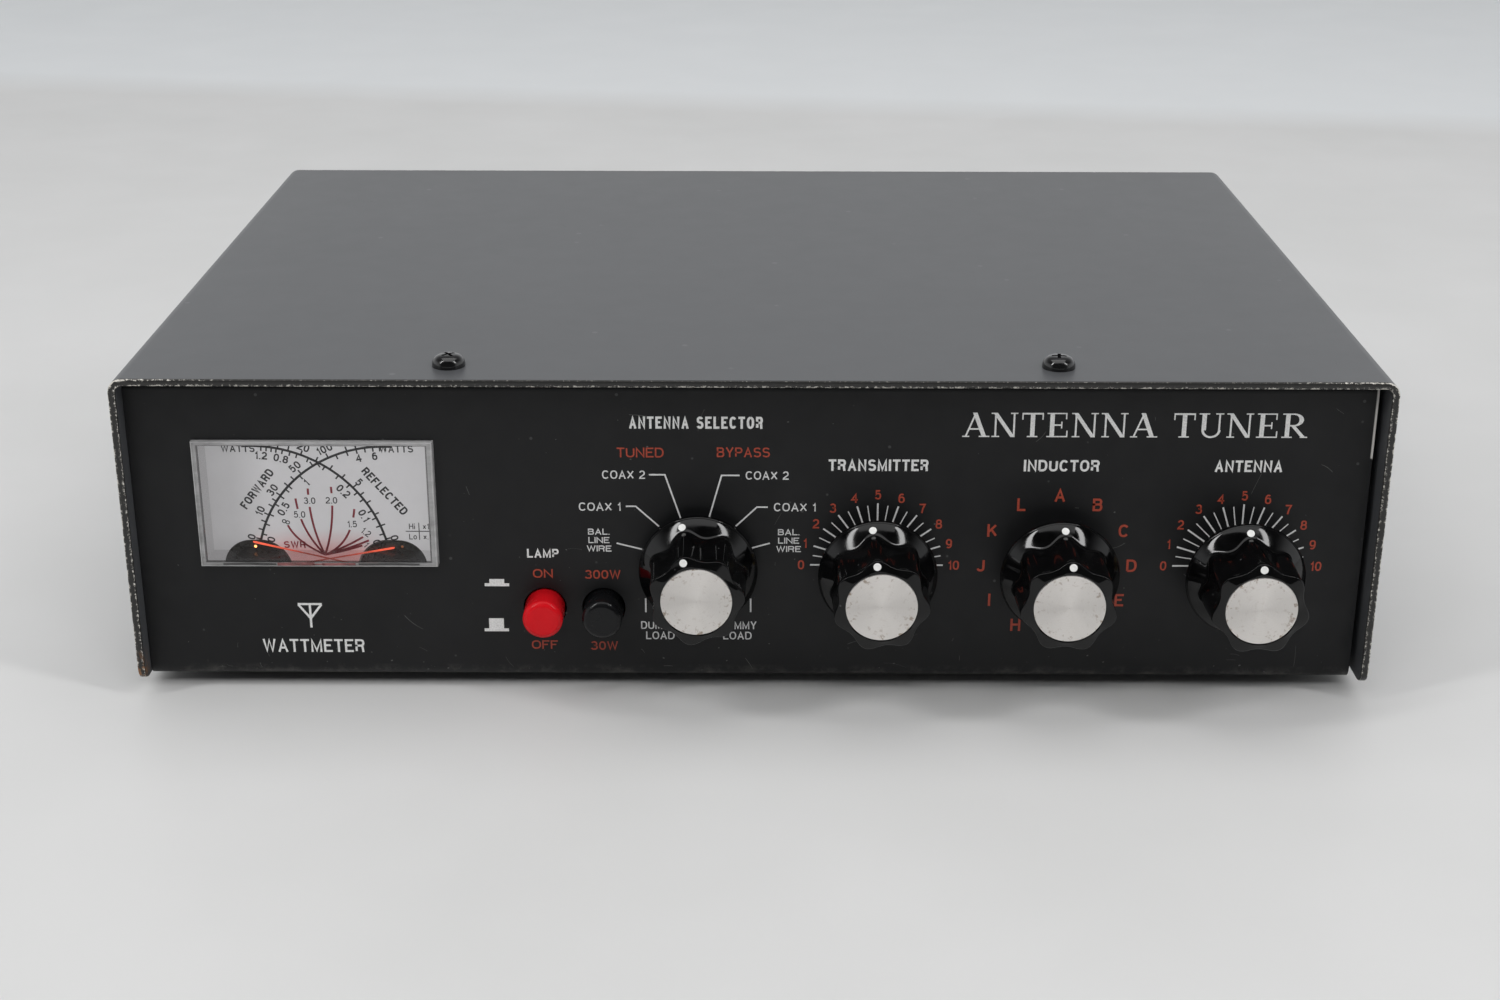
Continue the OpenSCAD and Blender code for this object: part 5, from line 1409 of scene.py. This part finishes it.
def terminal_cones():
    """Ribbed ceramic feed-throughs of the wire terminals, with a collar behind the panel."""
    bm = bmesh.new()
    low, high = node_box("terminal_insulators")
    z = (low.z + high.z) / 2
    inner = REAR_Y - SHEET
    bore_r = 2.45
    profile = [(low.y, bore_r), (low.y, 6.6), (low.y + 0.4, 7.0), (inner, 7.0), (inner, 5.0), (REAR_Y, 5.0),
               (REAR_Y, 7.6), (REAR_Y + 0.3, 7.95), (REAR_Y + 1.6, 7.95), (REAR_Y + 2.0, 7.6)]
    for i, r in enumerate((7.2, 6.8, 6.4)):
        y = REAR_Y + 2.2 + i * 2.4
        profile += [(y, r - 0.7), (y + 0.5, r - 0.75), (y + 0.9, r), (y + 1.9, r), (y + 2.2, r - 0.5)]
    profile += [(high.y - 0.25, 5.9), (high.y, 5.6), (high.y, bore_r), (low.y, bore_r)]
    for name in CONE_NUTS:
        lathe(bm, middle(name).x, z, profile, 48, cap_start=False, cap_end=False)
    obj = piece("terminal_cone_glaze", bm, "case", "white_ceramic", sharp=45)
    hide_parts("terminal_insulators")


def rear_printing():
    """Plain words over the connectors."""
    bm = bmesh.new()
    y = REAR_Y + 0.03
    xs, z = socket_axes()
    mid = (middle("wing_nut_line_a").x + middle("wing_nut_line_b").x) / 2
    labels = [(x, 16.2, words) for x, words in zip(xs, ("TRANSMITTER", "COAX 1", "COAX 2", "BYPASS"))]
    labels += [(middle("wing_nut_wire").x, 12.5, "WIRE"), (middle("wing_nut_ground").x, 12.5, "GROUND"),
               (mid, 12.5, "BALANCED LINE")]
    for x, rise, words in labels:
        lettering(bm, words, x, z + rise, 2.2, y, weight=0.17, back=True)
    for end in (-1, 1):
        start = mid + end * 12.5
        strip(bm, [(start, z + 9.5), (start, z + 10.6), (mid + end * 0.3, z + 10.6)][::-end], 0.3, y)
    jack = middle("dc_jack")
    lettering(bm, "12 V DC", jack.x, jack.z - 8.8, 1.9, y, weight=0.16, back=True)
    bmesh.ops.recalc_face_normals(bm, faces=bm.faces)
    piece("print_rear", bm, "case", "panel_paint", WHITE_INK)


# ---------------------------------------------------------------- floor

def floor():
    """A wide flat sheet that reaches well past the camera's view."""
    bm = bmesh.new()
    reach = 2.6
    outline = ((-reach, -reach), (reach, -reach), (reach, reach), (-reach, reach))
    bm.faces.new([bm.verts.new((x, y, 0)) for x, y in outline])
    bmesh.ops.subdivide_edges(bm, edges=bm.edges, cuts=6, use_grid_fill=True)
    mesh = bpy.data.meshes.new("floor")
    bm.to_mesh(mesh)
    bm.free()
    obj = bpy.data.objects.new("floor", mesh)
    bpy.context.collection.objects.link(obj)
    mesh.materials.append(floor_material())


camera()
studio()
floor()
dress_cad_nodes()
cover_piece()
cover_screws()
for knob in KNOBS:
    knob_piece(knob)
button_piece("lamp_button", "red_button")
button_piece("range_button", "black_button")
front_printing()
scuffs()
window_piece()
meter_printing()
movement_covers()
needle_piece("needle_forward", 1)
needle_piece("needle_reflected", -1)
coax_sockets()
threaded_studs()
for nut in (*CONE_NUTS, "wing_nut_ground"):
    wing_nut_piece(nut)
terminal_cones()
rear_printing()
